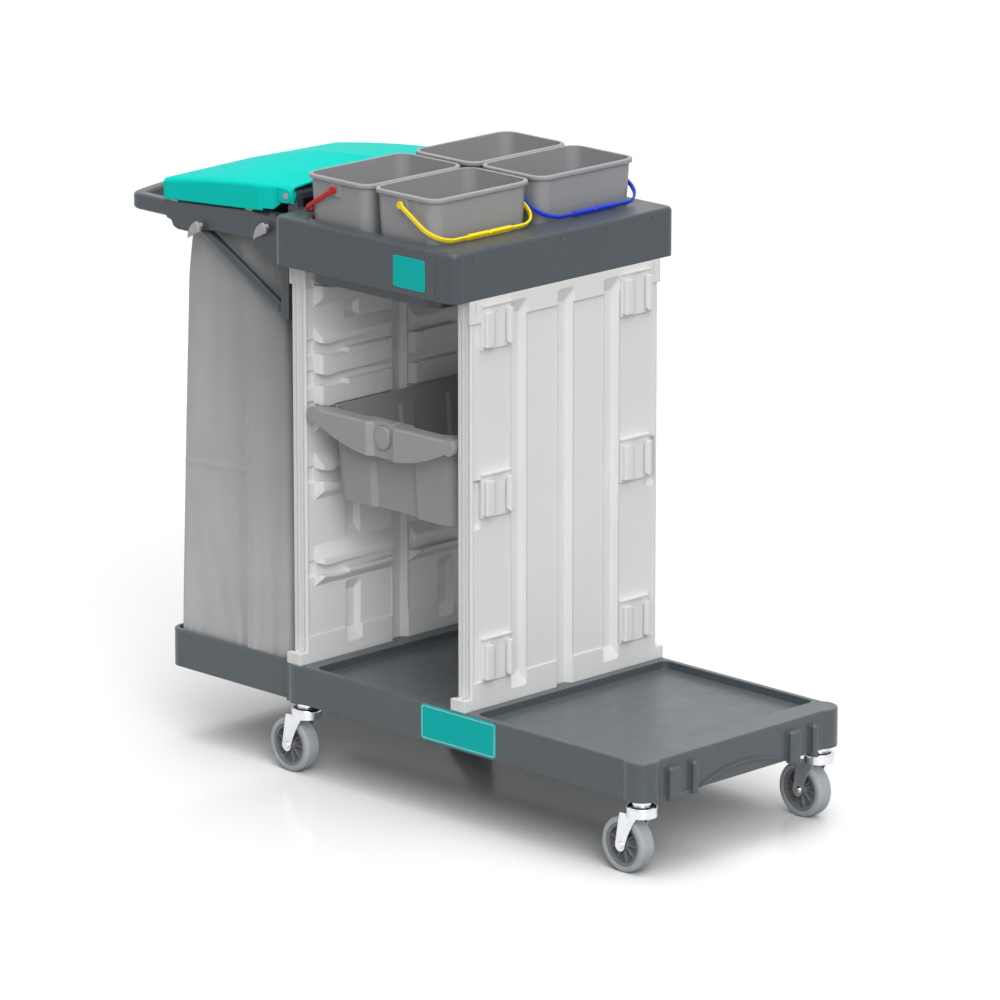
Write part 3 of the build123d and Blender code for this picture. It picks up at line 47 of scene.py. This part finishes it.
# Camera of the photograph, in metres and degrees
CAMERA_AT = (8.7315, -8.6486, 3.7920)
CAMERA_TURN = (75.0, 0.0, 45.0)
CAMERA_LENS = 257.4
CAMERA_SENSOR = 36.0
CAMERA_REACH = 200.0

# Light: a soft dome with broad bright patches, each a direction, a strength and a sharpness
DOME_FILL = 0.03
DOME_PATCHES = {
    "overhead": ((0.0, 0.0, 1.0), 5.0, 11.0),
    "front": ((0.69, -0.49, 0.53), 6.5, 16.0),
}
SEEN_BACKGROUND = 1.0
FLOOR_SEEN = 0.95
FLOOR_BOUNCE = 0.3
FLOOR_HALF = 40.0
FLOOR_GLOSS_ROUGH = 0.12
FLOOR_GLOSS_IOR = 1.12

# Colours as sRGB bytes
DARK = (64, 72, 78)
BASE_DARK = (77, 85, 90)
PANEL = (229, 229, 228)
DRAWER = (158, 160, 162)
BUCKET = (155, 155, 158)
LID = (22, 213, 199)
HOOK = (176, 174, 176)
PAD = (205, 208, 210)
HUB = (128, 130, 133)
TYRE = (172, 178, 182)
BAG = (190, 190, 191)
BAILS = {"yellow": (252, 226, 40), "blue": (44, 72, 208), "red": (196, 26, 30), "green": (40, 140, 64)}
PLATE = (24, 190, 186)
PLATE_LINE = (214, 236, 232)
ZINC = ((0.72, 0.73, 0.75), (0.82, 0.82, 0.84))
DARK_SHEEN = 0.2
DARK_SHEEN_ROUGH = 0.35
BEVEL_SAMPLES = 6


def linear(rgb):
    """A colour in sRGB bytes as the linear colour that a shader takes."""
    return tuple(((c / 255 + 0.055) / 1.055) ** 2.4 for c in rgb)


def add_node(tree, kind, **values):
    node = tree.nodes.new("ShaderNode" + kind)
    for key, value in values.items():
        node.inputs[key.replace("_", " ")].default_value = value
    return node


def calculate(tree, operation, *values):
    """A math node; each value is a number or another node's output."""
    node = tree.nodes.new("ShaderNodeMath")
    node.operation = operation
    for socket, value in zip(node.inputs, values):
        if isinstance(value, bpy.types.NodeSocket):
            tree.links.new(value, socket)
        else:
            socket.default_value = value
    return node.outputs["Value"]


def noise(tree, place, scale, detail=3.0, roughness=0.5):
    node = add_node(tree, "TexNoise", Scale=scale, Detail=detail, Roughness=roughness)
    tree.links.new(place, node.inputs["Vector"])
    return node.outputs["Fac"]


def blend_colours(tree, factor, low, high, start=0.3, end=0.7):
    ramp = tree.nodes.new("ShaderNodeValToRGB")
    ramp.color_ramp.elements[0].position = start
    ramp.color_ramp.elements[1].position = end
    ramp.color_ramp.elements[0].color = (*low, 1)
    ramp.color_ramp.elements[1].color = (*high, 1)
    tree.links.new(factor, ramp.inputs["Fac"])
    return ramp.outputs["Color"]


def spread(tree, factor, low, high):
    node = add_node(tree, "MapRange", From_Min=0.3, From_Max=0.7, To_Min=low, To_Max=high)
    tree.links.new(factor, node.inputs["Value"])
    return node.outputs["Result"]


def start_material(name):
    material = bpy.data.materials.new(name)
    material.use_nodes = True
    tree = material.node_tree
    place = tree.nodes.new("ShaderNodeTexCoord").outputs["Object"]
    return material, tree, tree.nodes["Principled BSDF"], place


def set_bump(tree, bsdf, height, strength, depth_mm, edge_mm=0.0):
    """Fine relief, over an edge rounding that only shading shows."""
    bump = add_node(tree, "Bump", Strength=strength, Distance=depth_mm / 1000)
    tree.links.new(height, bump.inputs["Height"])
    if edge_mm:
        bevel = add_node(tree, "Bevel", Radius=edge_mm / 1000)
        bevel.samples = BEVEL_SAMPLES
        tree.links.new(bevel.outputs["Normal"], bump.inputs["Normal"])
    tree.links.new(bump.outputs["Normal"], bsdf.inputs["Normal"])


def plastic(name, rgb, rough, grain_mm, depth_mm, strength, vary, edge_mm, specular, sheen=0.0):
    """Moulded plastic: grain in the surface, faint patches in colour and gloss."""
    material, tree, bsdf, place = start_material(name)
    colour = linear(rgb)
    patches = noise(tree, place, 5.0, 4.0)
    low = tuple(c * (1 - vary) for c in colour)
    high = tuple(min(1.0, c * (1 + vary)) for c in colour)
    tree.links.new(blend_colours(tree, patches, low, high), bsdf.inputs["Base Color"])
    handling = noise(tree, place, 28.0, 5.0, 0.6)
    tree.links.new(spread(tree, handling, rough - 0.05, rough + 0.05), bsdf.inputs["Roughness"])
    bsdf.inputs["Specular IOR Level"].default_value = specular
    if sheen:
        bsdf.inputs["Sheen Weight"].default_value = sheen
        bsdf.inputs["Sheen Roughness"].default_value = DARK_SHEEN_ROUGH
    set_bump(tree, bsdf, noise(tree, place, 1000 / grain_mm, 2.0), strength, depth_mm, edge_mm)
    return material


def zinc(name):
    """Bright zinc plate with the fine rubbing marks of pressed sheet."""
    material, tree, bsdf, place = start_material(name)
    bsdf.inputs["Metallic"].default_value = 1.0
    patches = noise(tree, place, 60.0, 4.0)
    tones = blend_colours(tree, patches, *ZINC)
    tree.links.new(tones, bsdf.inputs["Base Color"])
    tree.links.new(spread(tree, noise(tree, place, 40.0, 3.0), 0.1, 0.18), bsdf.inputs["Roughness"])
    stretch = add_node(tree, "Mapping", Scale=(1.0, 1.0, 14.0))
    tree.links.new(place, stretch.inputs["Vector"])
    rub = noise(tree, stretch.outputs["Vector"], 240.0, 3.0)
    set_bump(tree, bsdf, rub, 0.03, 0.03, 0.8)
    return material


def rubber(name, rgb, rings=0.0):
    """Moulded grey rubber: dull, slightly cloudy, with a fine grain or with rings across its width."""
    material, tree, bsdf, place = start_material(name)
    colour = linear(rgb)
    cloud = noise(tree, place, 38.0, 5.0, 0.6)
    low, high = (tuple(c * k for c in colour) for k in (0.9, 1.08))
    tree.links.new(blend_colours(tree, cloud, low, high), bsdf.inputs["Base Color"])
    tree.links.new(spread(tree, cloud, 0.5, 0.68), bsdf.inputs["Roughness"])
    if rings:
        waves = add_node(tree, "TexWave", Scale=rings, Distortion=0.1)
        waves.bands_direction = "Y"
        tree.links.new(tree.nodes["Texture Coordinate"].outputs["Generated"], waves.inputs["Vector"])
        set_bump(tree, bsdf, waves.outputs["Fac"], 0.4, 0.3, 0.8)
    else:
        set_bump(tree, bsdf, noise(tree, place, 1400.0, 2.0), 0.3, 0.08, 0.8)
    return material


# Fabric: painted shade in its colour, darker upwards, forwards and where both meet, between these heights
# and lengths in metres
CLOTH_SHADE_SPAN = {"Z": (0.35, 0.95), "X": (-0.48, -0.27)}
CLOTH_SHADE_DIM = (0.26, 0.16, 0.18)
MIX_COLOUR_INPUTS = (6, 7)
MIX_COLOUR_OUTPUT = 2


def share_of(tree, value, span):
    """0 at the span's start, 1 at its end."""
    node = add_node(tree, "MapRange", From_Min=span[0], From_Max=span[1], To_Min=0.0, To_Max=1.0)
    tree.links.new(value, node.inputs["Value"])
    return node.outputs["Result"]


def cloth(name, rgb):
    """Coated fabric: a fine diagonal twill, soft sheen, faint handling marks, and painted shade that
    darkens its colour upwards and forwards.
    """
    material, tree, bsdf, place = start_material(name)
    colour = linear(rgb)
    patches = noise(tree, place, 9.0, 5.0, 0.6)
    low, high = (tuple(c * k for c in colour) for k in (0.92, 1.05))
    split = tree.nodes.new("ShaderNodeSeparateXYZ")
    tree.links.new(place, split.inputs["Vector"])
    # painted shade: the colour darkens towards the top, towards the front and most where both meet
    up, ahead = (share_of(tree, split.outputs[axis], span) for axis, span in CLOTH_SHADE_SPAN.items())
    both = calculate(tree, "MULTIPLY", up, ahead)
    kept = 1.0
    for part, dim in zip((up, ahead, both), CLOTH_SHADE_DIM):
        kept = calculate(tree, "MULTIPLY_ADD", part, -dim, kept)
    painted_shade = add_node(tree, "Mix")
    painted_shade.data_type = "RGBA"
    painted_shade.blend_type = "MULTIPLY"
    painted_shade.inputs["Factor"].default_value = 1.0
    for socket, value in zip(MIX_COLOUR_INPUTS, (blend_colours(tree, patches, low, high), kept)):
        tree.links.new(value, painted_shade.inputs[socket])
    tree.links.new(painted_shade.outputs[MIX_COLOUR_OUTPUT], bsdf.inputs["Base Color"])
    tree.links.new(spread(tree, patches, 0.55, 0.7), bsdf.inputs["Roughness"])
    bsdf.inputs["Sheen Weight"].default_value = 0.25
    bsdf.inputs["Sheen Roughness"].default_value = 0.5
    twill = add_node(tree, "TexWave", Scale=210.0, Distortion=0.6, Detail=1.0, Detail_Scale=2.0)
    twill.bands_direction = "DIAGONAL"
    tree.links.new(place, twill.inputs["Vector"])
    set_bump(tree, bsdf, twill.outputs["Fac"], 0.35, 0.25)
    return material


TYRE_RINGS = 1.57
BAIL_VARY = {"yellow": 0.03, "blue": 0.04, "red": 0.04, "green": 0.04}
MATERIALS = {
    "dark_plastic": plastic("dark_plastic", DARK, 0.34, 0.9, 0.06, 0.3, 0.04, 2.4, 0.5, DARK_SHEEN),
    "panel_plastic": plastic("panel_plastic", PANEL, 0.40, 1.1, 0.04, 0.2, 0.02, 2.5, 0.25),
    "drawer_plastic": plastic("drawer_plastic", DRAWER, 0.4, 1.0, 0.05, 0.3, 0.04, 1.5, 0.25),
    "bucket_plastic": plastic("bucket_plastic", BUCKET, 0.36, 1.0, 0.05, 0.25, 0.04, 1.2, 0.3),
    "lid_plastic": plastic("lid_plastic", LID, 0.38, 1.0, 0.04, 0.2, 0.03, 3.0, 0.004),
    "hook_plastic": plastic("hook_plastic", HOOK, 0.34, 0.8, 0.04, 0.25, 0.04, 1.5, 0.4),
    "pad_rubber": rubber("pad_rubber", PAD),
    "zinc_steel": zinc("zinc_steel"),
    "hub_plastic": plastic("hub_plastic", HUB, 0.44, 0.8, 0.06, 0.3, 0.06, 0.8, 0.3),
    "tyre_rubber": rubber("tyre_rubber", TYRE, TYRE_RINGS),
    "bag_fabric": cloth("bag_fabric", BAG),
}
for hue, rgb in BAILS.items():
    slot = hue + "_bail_plastic"
    MATERIALS[slot] = plastic(slot, rgb, 0.36, 0.8, 0.04, 0.25, BAIL_VARY[hue], 0.9, 0.25)
STRUT_PLASTIC = plastic("strut_plastic", DARK, 0.22, 0.9, 0.05, 0.25, 0.03, 2.0, 0.5)
BASE_PLASTIC = plastic("base_plastic", BASE_DARK, 0.34, 0.9, 0.06, 0.3, 0.04, 2.4, 0.5, DARK_SHEEN)
RUNNER_PLASTIC = plastic("runner_plastic", PANEL, 0.40, 1.1, 0.04, 0.2, 0.02, 0.0, 0.25)
OWN_MATERIALS = {
    "base_deck": BASE_PLASTIC,
    "right_strut": STRUT_PLASTIC,
    "left_strut": STRUT_PLASTIC,
    "front_panel_runners": RUNNER_PLASTIC,
    "rear_panel_runners": RUNNER_PLASTIC,
}


def dress_nodes():
    """Each solid gets the procedural material of its slot, or its own variant of it."""
    for part in SUBPARTS:
        data = NODES[part["node"]].data
        data.materials.clear()
        data.materials.append(OWN_MATERIALS.get(part["node"], MATERIALS[part["material_slot"]]))


def make_piece(name, points, faces, material, body, smooth=True):
    mesh = bpy.data.meshes.new(name)
    mesh.from_pydata([tuple(p) for p in points], [], faces)
    mesh.validate()
    mesh.materials.append(material)
    mesh.polygons.foreach_set("use_smooth", [smooth] * len(mesh.polygons))
    piece = bpy.data.objects.new(name, mesh)
    bpy.context.scene.collection.objects.link(piece)
    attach(piece, body)
    return piece


def ease(t):
    t = np.clip(t, 0.0, 1.0)
    return t * t * (3 - 2 * t)


def ridge(across, middle, half):
    """A soft fold: 1 on its line, 0 at half either side."""
    return ease(1 - np.abs(across - middle) / half)


# Bag: a lofted shell of coated fabric, hung between the arms, standing in the base's well
BAG_ROWS = 170
BAG_SIDE_POINTS = 150
BAG_END_POINTS = 130
BAG_CORNER_POINTS = 14
BAG_FOOT_Z = 0.1625
BAG_TOP_Z = 0.984
BAG_FOOT_X = (-0.5164, -0.2284)
BAG_TOP_X = (-0.5344, -0.2863)
BAG_FRONT_CURVE = 1.4
BAG_FOOT_HALF = 0.2262
BAG_TOP_HALF = 0.1792
BAG_CORNER = 0.016
BAG_TOP_REAR_CORNER = 0.034
BAG_CORNER_START = 0.82
BAG_FLOOR_RINGS = (0.93, 0.6, 0.25)
BAG_FLOOR_DROP = 0.001
END_SEEDS = {"front": 5, "rear": 8}
END_FOLDS = 11

# Side faces of the bag: the seam's place across, at foot and top, and the hem's height with its rise
SEAM_ACROSS = (0.687, 0.643)
HEM_UP = (0.428, 0.024)
# Folds as shares across the side face and millimetres: fan below the hem (start, end, half width, height),
# waves above it and waves ahead of the seam (middle, half width, depth)
FAN_FOLDS = ((0.10, 0.14, 0.10, 0.5), (0.17, 0.31, 0.13, 1.6), (0.24, 0.52, 0.10, 1.0))
UPPER_WAVES = ((0.07, 0.06, 0.8), (0.30, 0.14, 1.5), (0.47, 0.08, 0.9))
FRONT_WAVES = ((0.76, 0.04, 0.7), (0.85, 0.05, 1.0), (0.95, 0.04, 1.2))


def bag_rings():
    """Rings from the foot up: height as a share and in metres, rear, front, half width, rear corner."""
    rings = []
    for row in range(BAG_ROWS + 1):
        t = row / BAG_ROWS
        z = BAG_FOOT_Z + (BAG_TOP_Z - BAG_FOOT_Z) * t
        rear = BAG_FOOT_X[0] + (BAG_TOP_X[0] - BAG_FOOT_X[0]) * t
        front = BAG_FOOT_X[1] + (BAG_TOP_X[1] - BAG_FOOT_X[1]) * t ** BAG_FRONT_CURVE
        half = BAG_FOOT_HALF + (BAG_TOP_HALF - BAG_FOOT_HALF) * t
        draw_in = ease((t - BAG_CORNER_START) / (1 - BAG_CORNER_START))
        corner = BAG_CORNER + (BAG_TOP_REAR_CORNER - BAG_CORNER) * draw_in
        rings.append((t, z, rear, front, half, corner))
    return rings


def outline(rear, front, half, rear_r, front_r, counts):
    """A rounded rectangle, as points and outward normals."""
    side_n, end_n, corner_n = counts
    places = []
    walls = (
        ((rear + rear_r, -half), (front - front_r, -half), (0, -1), side_n, front_r),
        ((front, -half + front_r), (front, half - front_r), (1, 0), end_n, front_r),
        ((front - front_r, half), (rear + rear_r, half), (0, 1), side_n, rear_r),
        ((rear, half - rear_r), (rear, -half + rear_r), (-1, 0), end_n, rear_r),
    )
    for start, end, normal, count, corner in walls:
        for k in range(count):
            f = k / count
            x = start[0] + (end[0] - start[0]) * f
            y = start[1] + (end[1] - start[1]) * f
            places.append((x, y, normal[0], normal[1]))
        turn = math.atan2(normal[1], normal[0])
        cx, cy = end[0] - normal[0] * corner, end[1] - normal[1] * corner
        for k in range(corner_n):
            a = turn + math.pi / 2 * k / corner_n
            nx, ny = math.cos(a), math.sin(a)
            places.append((cx + nx * corner, cy + ny * corner, nx, ny))
    return np.array(places)


def side_folds(a, t):
    """Relief of the narrow side faces in metres: a runs from the rear edge to the front edge."""
    seam = SEAM_ACROSS[0] + (SEAM_ACROSS[1] - SEAM_ACROSS[0]) * t
    hem = HEM_UP[0] + HEM_UP[1] * a
    foot = ease(1 - t / 0.22)
    mid = ease(t / 0.2) * ease((1 - t) / 0.12)
    out = 0.003 * np.sin(math.pi * a) * mid
    # overlap at the upright seam: the cloth climbs behind it, steeply near the foot, and falls away ahead
    climb = 0.15 - 0.06 * foot
    lap = ease((a - seam + climb) / climb) * (1 - ease((a - seam - 0.004) / (0.20 + 0.1 * t)))
    out += (0.0055 + 0.004 * foot) * lap * ease((1 - t) / 0.1)
    out -= 0.0009 * ridge(a, seam, 0.007)
    # sewn hem behind the seam, and a fan of folds below it
    behind = ease((seam - a) / 0.02)
    out += 0.0013 * ridge(t, hem, 0.006) * behind
    below = ease((hem - t) / 0.08) * ease(t / 0.05)
    drop = np.clip((0.40 - t) / 0.30, 0, 1.2)
    for start, end, half, high in FAN_FOLDS:
        out += high / 1000 * ridge(a, start + (end - start) * drop, half) * below * behind
    # slack cloth: shallow upright waves, a few ahead of the seam, and the gathered foot
    for middle, half, deep in UPPER_WAVES:
        out -= deep / 1000 * ridge(a, middle + 0.02 * np.sin(7 * t), half) * ease((t - 0.40) / 0.2)
    fades = 0.35 + 0.65 * ease(1 - t / 0.4)
    for middle, half, deep in FRONT_WAVES:
        out -= deep / 1000 * ridge(a, middle - 0.05 * t + 0.012 * np.sin(9 * t), half) * fades
    gather = ease(1 - t / 0.09)
    return out - 0.0011 * np.sin(75 * a + 5 * np.sin(9 * a)) * gather


def end_folds(b, t, seed):
    """Relief of the wide faces in metres: b runs across the face."""
    rng = np.random.default_rng(seed)
    low = ease(1 - t / 0.45)
    high = ease((t - 0.55) / 0.35)
    mid = ease(t / 0.2) * ease((1 - t) / 0.12)
    out = 0.006 * np.sin(math.pi * b) * mid
    for k in range(END_FOLDS):
        middle = (k + 0.5 + rng.uniform(-0.3, 0.3)) / END_FOLDS
        half, deep = rng.uniform(0.02, 0.05), rng.uniform(1.5, 4.0)
        reach = low if k % 2 else high
        out -= deep / 1000 * ridge(b, middle + 0.05 * (middle - 0.5) * t, half) * reach
    out -= 0.004 * ridge(b, 0.5 + 0.02 * np.sin(4 * t), 0.16) * mid
    out -= 0.002 * np.sin(90 * b + 4 * np.sin(11 * b)) * ease(1 - t / 0.14)
    return out


def make_bag():
    counts = (BAG_SIDE_POINTS, BAG_END_POINTS, BAG_CORNER_POINTS)
    points, faces = [], []
    per_ring = 0
    for t, z, rear, front, half, corner in bag_rings():
        place = outline(rear, front, half, corner, BAG_CORNER, counts)
        per_ring = len(place)
        a = np.clip((place[:, 0] - rear) / (front - rear), 0, 1)
        b = np.clip((place[:, 1] + half) / (2 * half), 0, 1)
        side = side_folds(a, t)
        front_end, rear_end = (end_folds(b, t, END_SEEDS[end]) for end in ("front", "rear"))
        ends = np.where(place[:, 2] > 0, front_end, rear_end)
        weight = place[:, 3] ** 2
        relief = side * weight + ends * (1 - weight)
        for p, d in zip(place, relief):
            points.append((p[0] + p[2] * d, p[1] + p[3] * d, z))
    for row in range(BAG_ROWS):
        for k in range(per_ring):
            n = (k + 1) % per_ring
            low, high = row * per_ring, (row + 1) * per_ring
            faces.append((low + k, low + n, high + n, high + k))
    # floor of the bag: the foot ring drawn in towards its middle
    middle_x = sum(BAG_FOOT_X) / 2
    last = 0
    for shrink in BAG_FLOOR_RINGS:
        base = len(points)
        for k in range(per_ring):
            x, y, _ = points[k]
            points.append((middle_x + (x - middle_x) * shrink, y * shrink, BAG_FOOT_Z - BAG_FLOOR_DROP))
        for k in range(per_ring):
            n = (k + 1) % per_ring
            faces.append((last + n, last + k, base + k, base + n))
        last = base
    points.append((middle_x, 0.0, BAG_FOOT_Z - BAG_FLOOR_DROP))
    for k in range(per_ring):
        faces.append((last + (k + 1) % per_ring, last + k, len(points) - 1))
    bag = make_piece("bag_cloth", points, faces, MATERIALS["bag_fabric"], "chassis")
    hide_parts("bag")


# Blank identification plates: teal, the larger one with a fine pale line inside its edge
PLATE_THICK = 0.0006
PLATE_DOME = 0.0004
PLATE_EDGE = 0.003
PLATE_STEPS = 10
LINE_INSET = 0.0032
LINE_W = 0.0011
LINE_PROUD = 0.00008
PLATE_CORNER_LEAST = 0.0004
# name: box in X and Z, Y of the wall behind it, corner radius, lined
PLATES = {
    "base_plate": ((0.137, 0.323, 0.140, 0.205), -0.2501, 0.008, True),
    "tray_plate": ((0.0977, 0.1757, 0.953, 1.009), -0.2756, 0.006, False),
}


def plate_ring(box, corner, inset, y):
    """Rounded rectangle in X and Z, drawn in by inset, as points."""
    x0, x1, z0, z1 = box
    r = max(corner - inset, PLATE_CORNER_LEAST)
    points = []
    for cx, cz, turn in ((x1 - corner, z1 - corner, 0), (x0 + corner, z1 - corner, 90),
                         (x0 + corner, z0 + corner, 180), (x1 - corner, z0 + corner, 270)):
        for k in range(PLATE_STEPS + 1):
            a = math.radians(turn + 90 * k / PLATE_STEPS)
            points.append((cx + r * math.cos(a), y, cz + r * math.sin(a)))
    return points


def join_rings(rings):
    """Faces between rings of equal count, seen from -Y."""
    per = len(rings[0])
    faces = []
    for ring in range(len(rings) - 1):
        for k in range(per):
            n = (k + 1) % per
            low, high = ring * per, (ring + 1) * per
            faces.append((low + n, low + k, high + k, high + n))
    return faces


def make_plate(name, box, y, corner, lined):
    top = y - PLATE_THICK - PLATE_DOME
    steps = ((0.0, y), (0.0, y - PLATE_THICK), (PLATE_DOME, top), (PLATE_EDGE, top))
    rings = [plate_ring(box, corner, inset, depth) for inset, depth in steps]
    faces = join_rings(rings)
    per = len(rings[0])
    faces.append(tuple(reversed(range((len(rings) - 1) * per, len(rings) * per))))
    points = [p for ring in rings for p in ring]
    material = plastic(name, PLATE, 0.5, 1.5, 0.02, 0.15, 0.02, 0.0, 0.05)
    make_piece(name, points, faces, material, "chassis", smooth=False)
    if lined:
        line = name + "_line"
        insets = (LINE_INSET, LINE_INSET + LINE_W)
        rings = [plate_ring(box, corner, inset, top - LINE_PROUD) for inset in insets]
        points = [p for ring in rings for p in ring]
        material = plastic(line, PLATE_LINE, 0.5, 1.5, 0.02, 0.15, 0.02, 0.0, 0.05)
        make_piece(line, points, join_rings(rings), material, "chassis", smooth=False)


def make_stage():
    mesh = bpy.data.meshes.new("floor")
    h = FLOOR_HALF
    mesh.from_pydata([(-h, -h, 0), (h, -h, 0), (h, h, 0), (-h, h, 0)], [], [(0, 1, 2, 3)])
    floor = bpy.data.objects.new("floor", mesh)
    bpy.context.scene.collection.objects.link(floor)
    material = bpy.data.materials.new("floor")
    material.use_nodes = True
    tree = material.node_tree
    tree.nodes.clear()
    out = tree.nodes.new("ShaderNodeOutputMaterial")
    light_path = tree.nodes.new("ShaderNodeLightPath")
    seen = add_node(tree, "BsdfDiffuse", Color=(FLOOR_SEEN, FLOOR_SEEN, FLOOR_SEEN, 1))
    lit = add_node(tree, "BsdfDiffuse", Color=(FLOOR_BOUNCE, FLOOR_BOUNCE, FLOOR_BOUNCE, 1))
    pick = tree.nodes.new("ShaderNodeMixShader")
    rays = light_path.outputs
    mirrored = calculate(tree, "MAXIMUM", rays["Is Glossy Ray"], rays["Is Transmission Ray"])
    tree.links.new(calculate(tree, "MAXIMUM", rays["Is Camera Ray"], mirrored), pick.inputs["Fac"])
    tree.links.new(lit.outputs["BSDF"], pick.inputs[1])
    tree.links.new(seen.outputs["BSDF"], pick.inputs[2])
    gloss = add_node(tree, "BsdfGlossy", Color=(1, 1, 1, 1), Roughness=FLOOR_GLOSS_ROUGH)
    share = add_node(tree, "Fresnel", IOR=FLOOR_GLOSS_IOR)
    mix = tree.nodes.new("ShaderNodeMixShader")
    tree.links.new(share.outputs["Fac"], mix.inputs["Fac"])
    tree.links.new(pick.outputs["Shader"], mix.inputs[1])
    tree.links.new(gloss.outputs["BSDF"], mix.inputs[2])
    tree.links.new(mix.outputs["Shader"], out.inputs["Surface"])
    mesh.materials.append(material)


def make_light():
    world = bpy.data.worlds.new("studio")
    world.use_nodes = True
    bpy.context.scene.world = world
    tree = world.node_tree
    tree.nodes.clear()
    out = tree.nodes.new("ShaderNodeOutputWorld")
    rays = tree.nodes.new("ShaderNodeLightPath").outputs
    heading = tree.nodes.new("ShaderNodeTexCoord").outputs["Generated"]
    dome = DOME_FILL
    for source, strength, sharpness in DOME_PATCHES.values():
        towards = tree.nodes.new("ShaderNodeVectorMath")
        towards.operation = "DOT_PRODUCT"
        towards.inputs[1].default_value = source
        tree.links.new(heading, towards.inputs[0])
        near = calculate(tree, "MAXIMUM", towards.outputs["Value"], 0.0)
        dome = calculate(tree, "MULTIPLY_ADD", calculate(tree, "POWER", near, sharpness), strength, dome)
    mirrored = calculate(tree, "MAXIMUM", rays["Is Glossy Ray"], rays["Is Transmission Ray"])
    bright = calculate(tree, "MAXIMUM", dome, SEEN_BACKGROUND)
    gain = calculate(tree, "MULTIPLY", calculate(tree, "SUBTRACT", bright, dome), mirrored)
    light = calculate(tree, "ADD", dome, gain)
    sky = add_node(tree, "Background", Color=(1, 1, 1, 1))
    tree.links.new(light, sky.inputs["Strength"])
    seen = add_node(tree, "Background", Color=(1, 1, 1, 1), Strength=SEEN_BACKGROUND)
    mix = tree.nodes.new("ShaderNodeMixShader")
    tree.links.new(rays["Is Camera Ray"], mix.inputs["Fac"])
    tree.links.new(sky.outputs["Background"], mix.inputs[1])
    tree.links.new(seen.outputs["Background"], mix.inputs[2])
    tree.links.new(mix.outputs["Shader"], out.inputs["Surface"])


def make_camera():
    data = bpy.data.cameras.new("camera")
    data.sensor_width = CAMERA_SENSOR
    data.lens = CAMERA_LENS
    data.clip_end = CAMERA_REACH
    camera = bpy.data.objects.new("camera", data)
    camera.location = CAMERA_AT
    camera.rotation_euler = [math.radians(a) for a in CAMERA_TURN]
    bpy.context.scene.collection.objects.link(camera)
    bpy.context.scene.camera = camera


bpy.context.scene.view_settings.view_transform = "Standard"
make_camera()
make_light()
make_stage()
dress_nodes()
make_bag()
for plate, (box, y, corner, lined) in PLATES.items():
    make_plate(plate, box, y, corner, lined)

bpy.context.view_layer.update()
